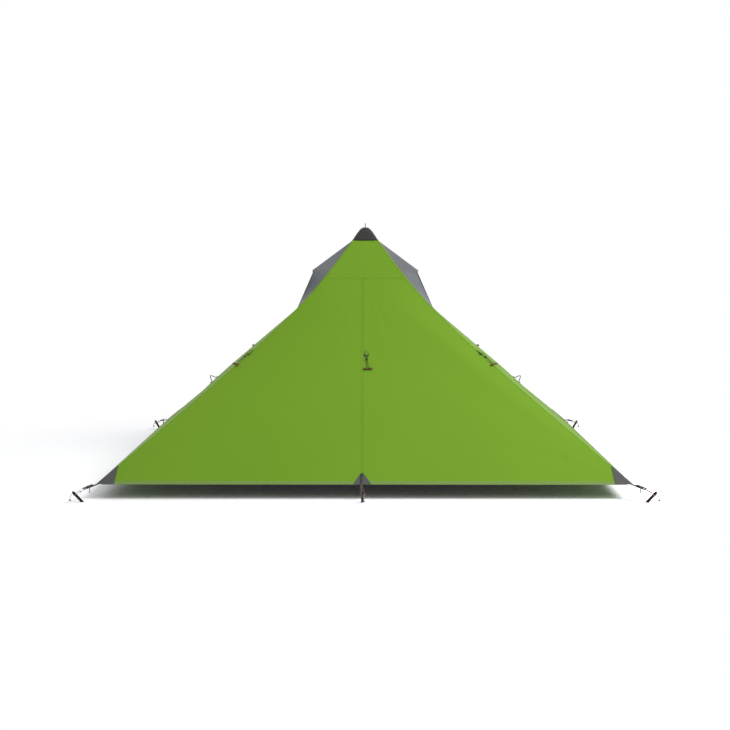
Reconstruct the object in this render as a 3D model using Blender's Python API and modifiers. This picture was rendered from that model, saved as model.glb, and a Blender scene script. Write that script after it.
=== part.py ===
"""A pyramid trekking tent, pitched on one trekking pole and six ground pegs.

Metres, +Z up. The origin is on the ground, below the peak. The front, with the zipped door, faces -Y.
"""

import math

import bmesh
import bpy
from mathutils import Matrix, Vector

# The pitched fly: its plan, its hem and the line that its four ridges follow
BASE_HALF_X = 1.245
BASE_HALF_Y = 1.150
HEM_HEIGHT = 0.073
RIDGE_RISE = 1.029
PEAK_RISE = 0.215
PEAK_REACH = 0.200

# Cloth, as sheets thick enough to handle as solids
FLY_CLOTH = 0.0015
NET_CLOTH = 0.0012
RIDGE_SEAM = 0.0032
SEAM_GAP = 0.0006
DOOR_GAP = 0.0020
TOUCH = 0.0003

# Heights of the horizontal seams: the cap's is measured down from where the ridges would meet
RIDGE_PEAK_Z = HEM_HEIGHT + RIDGE_RISE + PEAK_RISE * (1 - math.exp(-BASE_HALF_X / PEAK_REACH))
CAP_DEPTH = 0.1186
CAP_SEAM_Z = RIDGE_PEAK_Z - CAP_DEPTH
DOOR_SEAM_Z = 1.000
HOOD_FOOT_Z = 0.840

# Peak cap and its eyelet
CAP_RISE = 0.069
CAP_TOP_Z = CAP_SEAM_Z + CAP_RISE
CAP_FLAT_RADIUS = 0.0135
CAP_HOLE_RADIUS = 0.0062
CAP_CLOTH = 0.0018
CAP_OVERHANG = 0.0010
CAP_PROFILE = [(0.0, 0.0, 7.0), (0.36, 0.45, 5.0), (0.66, 0.78, 3.5), (0.86, 0.93, 2.5), (1.0, 1.0, 2.0)]
EYELET_BORE = 0.0046
EYELET_FLANGE = 0.0105
EYELET_RIM = 0.0010

# Door and zip on the front
ZIP_X = -0.010
ZIP_WIDTH = 0.006
ZIP_THICKNESS = 0.0024
DOOR_TOP_WIDTH = 0.012
SLIDER_WIDTH = 0.010
SLIDER_LENGTH = 0.020
SLIDER_HEIGHT = 0.006
SLIDER_REST = 0.050
PULL_WIDTH = 0.008
PULL_LENGTH = 0.045
PULL_THICKNESS = 0.0022
DOOR_HEM_GAP = 0.012

# Roof vents on the two ends
BRIM_X = 0.279
BRIM_Z = 1.0415
BRIM_HALF_WIDTH = 0.150
BRIM_LIP = 0.018
NET_INSET = 0.0020
HOOD_TOP_HALF_WIDTH = 0.034
HOOD_RIDGE_GAP = 4 * TOUCH
PROP_WIDTH = 0.014
PROP_THICKNESS = 0.0024
PROP_INSET = 0.0004
PROP_FOOT_GAP = 0.012
PROP_HEAD_GAP = 0.002

# Grey corner pieces, and what holds each corner down
PATCH_TOP_Z = 0.147
PATCH_HEM = 0.082
PATCH_GAP = 0.0006
STRAP_WIDTH = 0.015
STRAP_THICKNESS = 0.0016
STRAP_LENGTH = 0.050
STRAP_TAIL = 0.030
STRAP_SEWN = 0.006
STRAP_SLOPE = math.radians(13)
RING_WIRE = 0.0025
RING_WIDTH = 0.024
RING_LENGTH = 0.018
CORD_DIAMETER = 0.0022
CORNER_CORD_LENGTH = 0.048
HEM_CORD_LENGTH = 0.098
FRONT_CORD_SLANT = 0.10
CORD_END_Z = 0.042

# Ground pegs: three-finned bars that lean away from the tent
PEG_LENGTH = 0.160
PEG_FIN = 0.0072
PEG_WEB = 0.0024
PEG_LEAN = math.radians(43)
PEG_HEAD = 0.022
PEG_POINT = 0.030
PEG_PULL_DIAMETER = 0.0026
PEG_NOTCH = 0.94
PEG_NOTCH_DEPTH = 0.0055
PEG_VALLEY = 0.7
PEG_PULL_ROUTE = [(0.0, -0.006), (0.010, -0.0045), (0.021, -0.0065), (0.030, -0.0105), (0.037, -0.0165)]
LOOP_HALF_WIDTH = PEG_FIN * math.cos(math.pi / 6) + PEG_WEB / 2 + CORD_DIAMETER / 2 + TOUCH
LOOP_REACH = PEG_FIN + CORD_DIAMETER / 2 + TOUCH

# Toggles on webbing tabs, halfway up each ridge and beside the centre lines
TOGGLE_Z = 0.638
TOGGLE_LENGTH = 0.045
TOGGLE_RADIUS = 0.0052
TOGGLE_WAIST = 0.0036
TOGGLE_DROP = 0.110
TAB_WIDTH = 0.016
TAB_LENGTH = 0.034
TAB_THICKNESS = 0.0030
TAB_RING = 0.0060
TOGGLE_CORD_RADIUS = 0.0015
TOGGLE_LIFT = 0.0008

# Side panels stand a little proud at their centre, where a guy loop draws them out
SIDE_CROWN = 0.020
SIDE_CROWN_FOOT_Z = 0.360
BACK_CROWN = 0.020

# Trekking pole, handle down on the floor, tip up through the peak
POLE_SEGMENTS = 24
TUBE_WALL = 0.0010
TUBE_CLEARANCE = 0.0005
THIN_RADIUS = 0.0060
MIDDLE_RADIUS = THIN_RADIUS + TUBE_WALL + TUBE_CLEARANCE
GRIP_TUBE_RADIUS = MIDDLE_RADIUS + TUBE_WALL + TUBE_CLEARANCE
THIN_FOOT_Z = 0.840
MIDDLE_TOP_Z = 1.015
MIDDLE_FOOT_Z = 0.440
GRIP_TUBE_TOP_Z = 0.600
GRIP_TUBE_FOOT_Z = 0.024
TIP_NEEDLE_RADIUS = 0.0026
TIP_NEEDLE_LENGTH = 0.0284
TIP_CONE_LENGTH = 0.0456
TIP_SOCKET = 0.020
TIP_SHOULDER_RADIUS = 0.0080
TIP_SHOULDER_Z = CAP_TOP_Z - CAP_CLOTH - EYELET_RIM - 2 * TOUCH
TIP_TOP_Z = TIP_SHOULDER_Z + TIP_NEEDLE_LENGTH
THIN_TOP_Z = TIP_SHOULDER_Z - TIP_CONE_LENGTH
GRIP_TOP_Z = 0.165
GRIP_FOOT_GAP = 0.0004
GRIP_OUTLINE = [
    (0.0125, 0.165),
    (0.0140, 0.159),
    (0.0145, 0.140),
    (0.0165, 0.122),
    (0.0148, 0.104),
    (0.0165, 0.086),
    (0.0150, 0.068),
    (0.0172, 0.050),
    (0.0190, 0.036),
    (0.0215, 0.024),
    (0.0215, 0.012),
]
GRIP_FOOT_RADIUS = 0.0170
GRIP_SOCKET_Z = 0.018
CLAMP_HEIGHT = 0.026
CLAMP_WALL = 0.0034
EAR_THICKNESS = 0.0040
KNUCKLE_RADIUS = 0.0035
LEVER_WRAP = 125
LEVER_THICKNESS = 0.0032
LEVER_HEIGHT = 0.0150
LEVER_CLEARANCE = 0.0005

# Inner tent: a floor tub with net walls that close round the pole
FLOOR_HALF_X = 1.040
FLOOR_HALF_Y = 0.590
TUB_HEIGHT = 0.110
TUB_LEAN = 0.020
TUB_CLOTH = 0.0015
NET_PEAK_Z = 0.980
NET_PEAK_HALF = 0.020
NET_SEAM = 0.0022
ROLL_RADIUS = 0.022
ROLL_CLEARANCE = 0.0003

# Grid densities of the cloth surfaces
PANEL_ROWS = 12
PANEL_COLUMNS = 8
HOOD_ROWS = 4
CAP_SEGMENTS = 32

PLAN_RATIO = BASE_HALF_Y / BASE_HALF_X
CORNER_SIGNS = {
    "front_left": (-1, -1),
    "front_right": (1, -1),
    "back_left": (-1, 1),
    "back_right": (1, 1),
}


def clear_scene():
    for old in list(bpy.data.objects):
        bpy.data.objects.remove(old)


clear_scene()
tent = bpy.data.collections.new("trekking_tent")
cutters = bpy.data.collections.new("cutters")
bpy.context.scene.collection.children.link(tent)
bpy.context.scene.collection.children.link(cutters)


def material(name, colour, roughness, metallic=0.0):
    made = bpy.data.materials.new(name)
    made.use_nodes = True
    shader = made.node_tree.nodes["Principled BSDF"]
    shader.inputs["Base Color"].default_value = (*colour, 1.0)
    shader.inputs["Roughness"].default_value = roughness
    shader.inputs["Metallic"].default_value = metallic
    made.diffuse_color = (*colour, 1.0)
    return made


GREEN_CLOTH = material("green_ripstop", (0.18, 0.36, 0.035), 0.55)
GREY_CLOTH = material("grey_ripstop", (0.13, 0.13, 0.13), 0.6)
DARK_CLOTH = material("dark_reinforcement", (0.06, 0.06, 0.055), 0.65)
NET = material("insect_net", (0.08, 0.08, 0.09), 0.8)
FLOOR_CLOTH = material("floor_cloth", (0.05, 0.05, 0.055), 0.5)
WEBBING = material("black_webbing", (0.02, 0.02, 0.02), 0.8)
PLASTIC = material("black_plastic", (0.02, 0.02, 0.02), 0.4)
CORD = material("pale_cord", (0.62, 0.5, 0.47), 0.8)
PEG_METAL = material("anodised_aluminium", (0.05, 0.04, 0.04), 0.35, 1.0)
TOGGLE_PLASTIC = material("rust_toggle", (0.30, 0.09, 0.02), 0.5)
TUBE_METAL = material("pole_aluminium", (0.45, 0.46, 0.48), 0.3, 1.0)
STEEL = material("steel", (0.6, 0.6, 0.6), 0.25, 1.0)
FOAM = material("grip_foam", (0.03, 0.03, 0.03), 0.9)


def ridge_z(r):
    """Height of a ridge where its plan distance along X is r: straight low down, steeper near the peak."""
    straight = HEM_HEIGHT + RIDGE_RISE * (1 - r / BASE_HALF_X)
    at_corner = math.exp(-BASE_HALF_X / PEAK_REACH)
    return straight + PEAK_RISE * (math.exp(-r / PEAK_REACH) - at_corner)


def ridge_r(z):
    """Plan distance along X of the ridge point at height z."""
    low, high = 0.0, BASE_HALF_X
    for _ in range(50):
        middle = (low + high) / 2
        if ridge_z(middle) > z:
            low = middle
        else:
            high = middle
    return (low + high) / 2


def lerp(a, b, t):
    return a + (b - a) * t


def levels(top_z, foot_z, count):
    """Heights from top to foot, evenly spaced in plan, with one at the corner piece's top."""
    low = max(foot_z, PATCH_TOP_Z)
    top_r, foot_r = ridge_r(top_z), ridge_r(low)
    inner = [ridge_z(lerp(top_r, foot_r, i / count)) for i in range(1, count)]
    return [top_z, *inner, low] + ([foot_z] if foot_z < low else [])


def corner_cut(z, ridge_top, hem_end):
    """Half width of a panel beside a corner piece, with a wider gap at the top, where that turns in."""
    share = (PATCH_TOP_Z - z) / (PATCH_TOP_Z - HEM_HEIGHT)
    return lerp(ridge_top - FLY_CLOTH, hem_end, share) - PATCH_GAP


def half_width(z):
    """Plan distance along X where a panel ends: at the ridge, or lower down at the corner piece."""
    if z > PATCH_TOP_Z:
        return ridge_r(z)
    return corner_cut(z, ridge_r(PATCH_TOP_Z), BASE_HALF_X - PATCH_HEM)


DOOR_TOP_Y = -PLAN_RATIO * ridge_r(DOOR_SEAM_Z)


def door_plane_y(z):
    """The door is a flat triangle, drawn tight between its seam above and the hem."""
    share = (DOOR_SEAM_Z - z) / (DOOR_SEAM_Z - HEM_HEIGHT)
    return lerp(DOOR_TOP_Y, -BASE_HALF_Y, share)


def add(obj, paint, collection=tent):
    if obj.name not in collection.objects:
        collection.objects.link(obj)
    if obj.data is not None and paint is not None:
        obj.data.materials.clear()
        obj.data.materials.append(paint)
    return obj


def mesh_object(name, points, faces, paint, origin=(0, 0, 0), smooth=True):
    """A mesh whose object origin is at the given point."""
    base = Vector(origin)
    mesh = bpy.data.meshes.new(name)
    mesh.from_pydata([Vector(p) - base for p in points], [], faces)
    if smooth:
        mesh.shade_smooth()
        mesh.set_sharp_from_angle(angle=math.radians(35))
    obj = bpy.data.objects.new(name, mesh)
    obj.location = base
    return add(obj, paint)


def grid_faces(rows, columns, closed=False):
    """Quads between rows of points, each row holding the same number of points."""
    span = columns if closed else columns - 1
    faces = []
    for i in range(rows - 1):
        for j in range(span):
            k = (j + 1) % columns
            a, b = i * columns, (i + 1) * columns
            faces.append((a + j, b + j, b + k, a + k))
    return faces


def thicken(obj, thickness):
    """Cloth thickness, taken on the inner side of the surface."""
    solid = obj.modifiers.new("cloth_thickness", "SOLIDIFY")
    solid.thickness = thickness
    solid.offset = -1.0
    solid.use_even_offset = True
    return obj


def face_outwards(points, faces, outward):
    """Turns the faces round if the first one's normal points against the outward direction."""
    a, b, c = (Vector(points[k]) for k in faces[0][:3])
    if (b - a).cross(c - a).dot(Vector(outward)) < 0:
        return [tuple(reversed(f)) for f in faces]
    return faces


def cloth(name, rows, outward, paint, thickness=FLY_CLOTH, origin=(0, 0, 0)):
    """A sheet of cloth through rows of points."""
    points = [p for row in rows for p in row]
    faces = face_outwards(points, grid_faces(len(rows), len(rows[0])), outward)
    return thicken(mesh_object(name, points, faces, paint, origin), thickness)


def tube(name, points, radius, paint, resolution=2):
    """A cord or wire along a list of points."""
    curve = bpy.data.curves.new(name, "CURVE")
    curve.dimensions = "3D"
    curve.bevel_depth = radius
    curve.bevel_resolution = resolution
    curve.use_fill_caps = True
    spline = curve.splines.new("POLY")
    spline.points.add(len(points) - 1)
    for point, place in zip(spline.points, points):
        point.co = (*place, 1.0)
    return add(bpy.data.objects.new(name, curve), paint)


def as_mesh(obj):
    """The evaluated mesh of a curve or of a mesh with modifiers, welded; the source object is removed."""
    bpy.context.view_layer.update()
    graph = bpy.context.evaluated_depsgraph_get()
    mesh = bpy.data.meshes.new_from_object(obj.evaluated_get(graph))
    shape = bmesh.new()
    shape.from_mesh(mesh)
    bmesh.ops.remove_doubles(shape, verts=shape.verts, dist=1e-6)
    bmesh.ops.recalc_face_normals(shape, faces=shape.faces)
    shape.to_mesh(mesh)
    shape.free()
    made = bpy.data.objects.new(obj.name, mesh)
    made.matrix_world = obj.matrix_world.copy()
    name = obj.name
    bpy.data.objects.remove(obj)
    made.name = name
    tent.objects.link(made)
    return made


def combine(target, others):
    """Joins closed shapes into the target with Boolean unions and removes them."""
    for other in others:
        other.hide_render = True
        other.display_type = "WIRE"
        tent.objects.unlink(other)
        cutters.objects.link(other)
        join = target.modifiers.new("join", "BOOLEAN")
        join.operation = "UNION"
        join.solver = "EXACT"
        join.object = other
    made = as_mesh(target)
    for other in others:
        bpy.data.objects.remove(other)
    return made


def box(name, size, centre, paint, bevel=0.0, turn=None):
    """A box of the given size, its edges rounded by a bevel."""
    shape = bmesh.new()
    bmesh.ops.create_cube(shape, size=1.0)
    bmesh.ops.scale(shape, vec=size, verts=shape.verts)
    mesh = bpy.data.meshes.new(name)
    shape.to_mesh(mesh)
    shape.free()
    obj = add(bpy.data.objects.new(name, mesh), paint)
    obj.matrix_world = Matrix.Translation(centre) @ (turn or Matrix.Identity(4))
    if bevel:
        rounding = obj.modifiers.new("rounding", "BEVEL")
        rounding.width = bevel
        rounding.segments = 2
    return obj


def turned(name, profile, paint, segments=POLE_SEGMENTS):
    """A solid of revolution about Z. The profile runs from the top down its outside, then up any bore."""
    mesh = bpy.data.meshes.new(name)
    count = len(profile)
    bored = profile[0][0] > 1e-6
    edges = [(i, i + 1) for i in range(count - 1)] + ([(count - 1, 0)] if bored else [])
    mesh.from_pydata([(r, 0.0, z) for r, z in profile], edges, [])
    obj = add(bpy.data.objects.new(name, mesh), paint)
    spin = obj.modifiers.new("turn", "SCREW")
    spin.steps = segments
    spin.render_steps = segments
    spin.use_merge_vertices = True
    spin.merge_threshold = 1e-5
    spin.use_smooth_shade = True
    return obj


def copies(master, places, paint):
    """Named copies of a master object that share its mesh; the master is removed."""
    mesh = master.data
    mesh.transform(master.matrix_world)
    bpy.data.objects.remove(master)
    made = []
    for name, matrix in places.items():
        obj = bpy.data.objects.new(name, mesh)
        obj.matrix_world = matrix
        made.append(add(obj, None))
    mesh.materials.clear()
    mesh.materials.append(paint)
    return made


def frame_at(origin, up, outward):
    """A local frame: Z along up, Y along outward, X to complete it."""
    z_axis = Vector(up).normalized()
    y_axis = Vector(outward)
    y_axis = (y_axis - z_axis * y_axis.dot(z_axis)).normalized()
    x_axis = y_axis.cross(z_axis)
    turn = Matrix((x_axis, y_axis, z_axis)).transposed().to_4x4()
    return Matrix.Translation(origin) @ turn


# Fly panels


def front_rows(top_z, foot_z, count, columns, left_end, right_end):
    """Rows of the front surface: flat like the door near the middle, falling back to the ridges."""
    rows = []
    for z in levels(top_z, foot_z, count):
        edge = half_width(z)
        row = []
        for j in range(columns + 1):
            x = lerp(left_end(z), right_end(z), j / columns)
            share = min(abs(x) / edge, 1.0)
            ridge_y = -PLAN_RATIO * edge if z > PATCH_TOP_Z else door_plane_y(z)
            middle_y = min(door_plane_y(z), ridge_y) if z <= DOOR_SEAM_Z else ridge_y
            y = lerp(middle_y, ridge_y, share**3)
            row.append((x, y, z))
        rows.append(row)
    return rows


def panel_edge(z):
    """Where a front or back panel stops, just short of the side panel that covers its edge."""
    return half_width(z) - (RIDGE_SEAM if z > PATCH_TOP_Z else 0.0)


def front_yoke():
    rows = front_rows(
        CAP_SEAM_Z - SEAM_GAP, DOOR_SEAM_Z + SEAM_GAP, 4, PANEL_COLUMNS,
        lambda z: -panel_edge(z), panel_edge,
    )
    return cloth("fly_front_yoke", rows, (0, -1, 1), GREEN_CLOTH)


def front_left_panel():
    rows = front_rows(
        DOOR_SEAM_Z - SEAM_GAP, HEM_HEIGHT, PANEL_ROWS, PANEL_COLUMNS,
        lambda z: -panel_edge(z), lambda z: ZIP_X - ZIP_WIDTH / 2 - TOUCH,
    )
    return cloth("fly_front_left_panel", rows, (0, -1, 1), GREEN_CLOTH)


DOOR_LEFT_X = ZIP_X + ZIP_WIDTH / 2 + TOUCH
DOOR_TOP_X = DOOR_LEFT_X + DOOR_TOP_WIDTH
DOOR_FOOT_X = BASE_HALF_X - PATCH_HEM - PATCH_GAP - DOOR_HEM_GAP
DOOR_HEAD_Z = DOOR_SEAM_Z - SEAM_GAP


def fold_x(z):
    """The straight line on which the door folds back, from its head to the right corner piece."""
    share = (DOOR_HEAD_Z - z) / (DOOR_HEAD_Z - HEM_HEIGHT)
    return lerp(DOOR_TOP_X, DOOR_FOOT_X, share)


def door_leaf():
    """The right half of the door. It turns about its fold line."""
    corners = [
        (DOOR_LEFT_X, DOOR_HEAD_Z),
        (DOOR_LEFT_X, HEM_HEIGHT),
        (DOOR_FOOT_X, HEM_HEIGHT),
        (DOOR_TOP_X, DOOR_HEAD_Z),
    ]
    points = [(x, door_plane_y(z), z) for x, z in corners]
    hinge = (DOOR_TOP_X + DOOR_GAP / 2, door_plane_y(DOOR_HEAD_Z), DOOR_HEAD_Z)
    leaf = mesh_object("door_leaf", points, [(0, 1, 2, 3)], GREEN_CLOTH, hinge, smooth=False)
    return thicken(leaf, FLY_CLOTH)


STRIP_STEPS = [0.0, 0.25, 0.5, 0.75, 1.0]


def front_right_panel():
    """The fixed strip between the door's fold line and the right ridge."""
    slope = DOOR_GAP / math.sin(math.atan2(DOOR_HEAD_Z - HEM_HEIGHT, DOOR_FOOT_X - DOOR_TOP_X))
    rows = []
    for z in levels(DOOR_HEAD_Z, HEM_HEIGHT, PANEL_ROWS):
        start, end = fold_x(z) + slope, panel_edge(z)
        end_y = -PLAN_RATIO * half_width(z) if z > PATCH_TOP_Z else door_plane_y(z)
        end_y = max(end_y, door_plane_y(z))
        rows.append([(lerp(start, end, t), lerp(door_plane_y(z), end_y, t), z) for t in STRIP_STEPS])
    return cloth("fly_front_right_panel", rows, (0, -1, 1), GREEN_CLOTH)


def crown(z, top_z, foot_z, height):
    """How far a panel's centre line stands out: nothing at its ends, most between them."""
    share = (z - foot_z) / (top_z - foot_z)
    return height * math.sin(math.pi * share)


def back_panel():
    rows = []
    for z in levels(CAP_SEAM_Z - SEAM_GAP, HEM_HEIGHT, PANEL_ROWS + 4):
        edge = panel_edge(z)
        base_y = PLAN_RATIO * half_width(z) if z > PATCH_TOP_Z else -door_plane_y(z)
        out = crown(z, CAP_SEAM_Z, HEM_HEIGHT, BACK_CROWN)
        row = []
        for j in range(PANEL_COLUMNS * 2 + 1):
            share = lerp(-1, 1, j / (PANEL_COLUMNS * 2))
            row.append((share * edge, base_y + out * (1 - share * share), z))
        rows.append(row)
    return cloth("fly_back_panel", rows, (0, 1, 1), GREEN_CLOTH)


def side_half_width(z):
    """Half of a side panel's width along Y."""
    if z > PATCH_TOP_Z:
        return PLAN_RATIO * ridge_r(z)
    return corner_cut(z, PLAN_RATIO * ridge_r(PATCH_TOP_Z), BASE_HALF_Y - PATCH_HEM)


def side_panel(name, sign):
    rows = []
    for z in levels(HOOD_FOOT_Z - SEAM_GAP, HEM_HEIGHT, PANEL_ROWS):
        edge = side_half_width(z)
        out = crown(max(z, SIDE_CROWN_FOOT_Z), HOOD_FOOT_Z, SIDE_CROWN_FOOT_Z, SIDE_CROWN)
        row = []
        for j in range(PANEL_COLUMNS + 1):
            share = lerp(-1, 1, j / PANEL_COLUMNS)
            row.append((sign * (ridge_r(z) + out * (1 - share * share)), share * edge, z))
        rows.append(row)
    return cloth(name, rows, (sign, 0, 1), GREEN_CLOTH)


front_yoke()
front_left_panel()
front_right_panel()
door_leaf()
back_panel()
for side, sign in (("left", -1), ("right", 1)):
    side_panel(f"fly_{side}_panel", sign)


# Peak cap and eyelet


def cap_ring(half_x, half_y, z, squareness):
    """A rounded square: a circle where squareness is 2, nearly square where it is large."""
    points = []
    for i in range(CAP_SEGMENTS):
        angle = 2 * math.pi * (i + 0.5) / CAP_SEGMENTS
        c, s = math.cos(angle), math.sin(angle)
        reach = (abs(c) ** squareness + abs(s) ** squareness) ** (-1 / squareness)
        points.append((half_x * reach * c, half_y * reach * s, z))
    return points


def peak_cap():
    """The dark reinforced cap: four-sided below, round on top, with a hole for the pole tip."""
    foot = ridge_r(CAP_SEAM_Z) + CAP_OVERHANG
    profile = [(lerp(foot, CAP_FLAT_RADIUS, inward), up, square) for inward, up, square in CAP_PROFILE]
    profile.append((CAP_HOLE_RADIUS, 1.0, 2.0))
    rows = []
    for radius, share, squareness in profile:
        half_y = radius * (PLAN_RATIO if squareness > 2.0 else 1.0)
        rows.append(cap_ring(radius, half_y, CAP_SEAM_Z + share * CAP_RISE, squareness))
    points = [p for row in rows for p in row]
    faces = grid_faces(len(rows), CAP_SEGMENTS, closed=True)
    faces = face_outwards(points, faces, points[0])
    return thicken(mesh_object("peak_cap", points, faces, DARK_CLOTH), CAP_CLOTH)


def peak_eyelet():
    """A metal eyelet clenched over both faces of the cap."""
    neck = CAP_HOLE_RADIUS - TOUCH
    top, under = CAP_TOP_Z + TOUCH, CAP_TOP_Z - CAP_CLOTH - TOUCH
    profile = [
        (EYELET_BORE, top + EYELET_RIM),
        (EYELET_FLANGE - EYELET_RIM / 2, top + EYELET_RIM),
        (EYELET_FLANGE, top),
        (neck, top),
        (neck, under),
        (EYELET_FLANGE, under),
        (EYELET_FLANGE, under - EYELET_RIM),
        (EYELET_BORE, under - EYELET_RIM),
    ]
    return turned("peak_eyelet", profile, STEEL)


peak_cap()
peak_eyelet()


# Roof vents


def hood_profile_x(z):
    """The hood's centre line: out from the cap to the brim, straight down its lip, then out to its foot."""
    if z >= BRIM_Z:
        share = (CAP_SEAM_Z - z) / (CAP_SEAM_Z - BRIM_Z)
        return lerp(ridge_r(CAP_SEAM_Z), BRIM_X, share)
    lip_z = BRIM_Z - BRIM_LIP
    share = max(lip_z - z, 0.0) / (lip_z - HOOD_FOOT_Z)
    return lerp(BRIM_X, ridge_r(HOOD_FOOT_Z), share)


def hood_flat_half(z):
    """Half the width of the hood's flat middle."""
    share = min((CAP_SEAM_Z - z) / (CAP_SEAM_Z - BRIM_Z), 1.0)
    return lerp(HOOD_TOP_HALF_WIDTH, BRIM_HALF_WIDTH, share)


def hood_levels():
    upper = levels(CAP_SEAM_Z - SEAM_GAP, BRIM_Z, HOOD_ROWS)
    lip = BRIM_Z - BRIM_LIP
    lower = levels(lip, HOOD_FOOT_Z + SEAM_GAP, HOOD_ROWS)
    return upper + lower


def hood_row(z, sign):
    """One level of the hood: cheek, flat middle and cheek, from one ridge to the other."""
    ridge_x = ridge_r(z) + HOOD_RIDGE_GAP
    ridge_y = PLAN_RATIO * ridge_r(z) - HOOD_RIDGE_GAP / 2
    flat, out = hood_flat_half(z), hood_profile_x(z)
    cheek = [(sign * lerp(out, ridge_x, t), lerp(flat, ridge_y, t), z) for t in (0.5, 1.0)]
    middle = [(sign * out, y, z) for y in (-flat, -flat / 3, flat / 3, flat)]
    return [(x, -y, z) for x, y, z in reversed(cheek)] + middle + cheek


def vent_hood(name, sign):
    """Roof flap, brim lip and two cheeks; the window below the lip is left open for the net."""
    rows = [hood_row(z, sign) for z in hood_levels()]
    columns, lip_row = len(rows[0]), HOOD_ROWS + 1
    first, last = columns // 2 - 2, columns // 2 + 1
    points = [p for row in rows for p in row]
    faces = []
    for index, face in enumerate(grid_faces(len(rows), columns)):
        row, column = divmod(index, columns - 1)
        if row < lip_row or not first <= column < last:
            faces.append(face)
    faces = face_outwards(points, faces, (sign, -1, 1))
    return thicken(mesh_object(name, points, faces, GREY_CLOTH), FLY_CLOTH)


def vent_net(name, sign):
    """The net window under the brim, inside the hood's lip and cheeks."""
    top_z, foot_z = BRIM_Z - BRIM_LIP - SEAM_GAP, HOOD_FOOT_Z + SEAM_GAP
    half = BRIM_HALF_WIDTH - NET_INSET
    rows = []
    for i in range(5):
        z = lerp(top_z, foot_z, i / 4)
        rows.append([(sign * hood_profile_x(z), lerp(-half, half, j / 4), z) for j in range(5)])
    return cloth(name, rows, (sign, 0, 0.3), NET, NET_CLOTH)


def prop_line():
    """Foot and head of a vent prop in the XZ plane, just inside the net."""
    inside = FLY_CLOTH + PROP_THICKNESS / 2 + PROP_INSET
    foot_z, head_z = HOOD_FOOT_Z + PROP_FOOT_GAP, BRIM_Z - BRIM_LIP - PROP_HEAD_GAP
    return (hood_profile_x(foot_z) - inside, foot_z), (hood_profile_x(head_z) - inside, head_z)


def vent_prop(name, sign):
    """A flat stiffener that stands behind the net and holds the brim out. It turns about its head."""
    (foot_x, foot_z), (head_x, head_z) = prop_line()
    length = math.hypot(head_x - foot_x, head_z - foot_z)
    up = Vector((sign * (head_x - foot_x), 0, head_z - foot_z)).normalized()
    place = frame_at((sign * head_x, 0, head_z), up, (sign, 0, 0))
    size = (PROP_WIDTH, PROP_THICKNESS, length)
    strip = box(name, size, (0, 0, -length / 2), GREY_CLOTH, bevel=0.0008)
    strip.data.transform(Matrix.Translation((0, 0, -length / 2)))
    strip.matrix_world = place
    return strip


for side, sign in (("left", -1), ("right", 1)):
    vent_hood(f"vent_hood_{side}", sign)
    vent_net(f"vent_net_{side}", sign)
    vent_prop(f"vent_prop_{side}", sign)


# Corner pieces, and the cords and ground pegs that hold the tent down


def peg_ring(scale, z):
    """Outline of the three-finned peg: two corners at each fin's end and one in each valley."""
    points = []
    for i in range(3):
        angle = math.pi / 2 + 2 * math.pi * i / 3
        along = Vector((math.cos(angle), math.sin(angle), 0))
        across = Vector((-along.y, along.x, 0)) * PEG_WEB / 2
        reach = along * PEG_FIN * scale
        between = angle + math.pi / 3
        valley = Vector((math.cos(between), math.sin(between), 0)) * PEG_WEB * PEG_VALLEY
        for corner in (reach - across, reach + across, valley):
            points.append((corner.x, corner.y, z))
    return points


def peg_master():
    """A peg with its head at the origin: point, shank, cord notch and head, and a pull cord with a knot."""
    heights = [
        (0.24, -PEG_LENGTH),
        (1.0, -PEG_LENGTH + PEG_POINT),
        (1.0, -PEG_HEAD),
        (PEG_NOTCH, -PEG_HEAD + 0.003),
        (PEG_NOTCH, -PEG_HEAD + 0.008),
        (1.0, -PEG_HEAD + 0.011),
        (1.0, 0.0),
    ]
    rows = [peg_ring(scale, z) for scale, z in heights]
    points = [p for row in rows for p in row]
    count = len(rows[0])
    faces = grid_faces(len(rows), count, closed=True)
    faces.append(tuple(range(count)))
    faces.append(tuple(reversed(range(len(points) - count, len(points)))))
    shank = mesh_object("peg_shank", points, faces, PEG_METAL, smooth=False)
    shape = bmesh.new()
    shape.from_mesh(shank.data)
    bmesh.ops.recalc_face_normals(shape, faces=shape.faces)
    shape.to_mesh(shank.data)
    shape.free()
    droop = [(0.0, y, z) for y, z in PEG_PULL_ROUTE]
    pull = as_mesh(tube("peg_pull", droop, PEG_PULL_DIAMETER / 2, CORD, 1))
    knot_shape = bmesh.new()
    bmesh.ops.create_icosphere(knot_shape, subdivisions=1, radius=PEG_PULL_DIAMETER * 1.1)
    knot_mesh = bpy.data.meshes.new("peg_knot")
    knot_shape.to_mesh(knot_mesh)
    knot_shape.free()
    knot = add(bpy.data.objects.new("peg_knot", knot_mesh), CORD)
    knot.location = droop[-1]
    return combine(shank, [pull, knot])


def peg_frame(direction, cord_end):
    """Where a peg stands: its axis leans outward, and its notch is where the cord ends."""
    outward = Vector((direction[0], direction[1], 0))
    lean = outward * math.sin(PEG_LEAN) + Vector((0, 0, math.cos(PEG_LEAN)))
    head = Vector(cord_end) + lean * (PEG_HEAD - PEG_NOTCH_DEPTH)
    return frame_at(head, lean, outward)


def ring_points(width, length, corner=0.004):
    """Centre line of a rectangular ring with rounded corners, in its own XZ plane, its foot at z = 0."""
    points = []
    for side_x, side_z, start in ((1, 1, 0), (-1, 1, 1), (-1, -1, 2), (1, -1, 3)):
        for i in range(4):
            angle = math.pi / 2 * (start + i / 3)
            x = side_x * (width / 2 - corner) + corner * math.cos(angle)
            z = length / 2 + side_z * (length / 2 - corner) + corner * math.sin(angle)
            points.append((x, 0.0, z))
    return points


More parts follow.
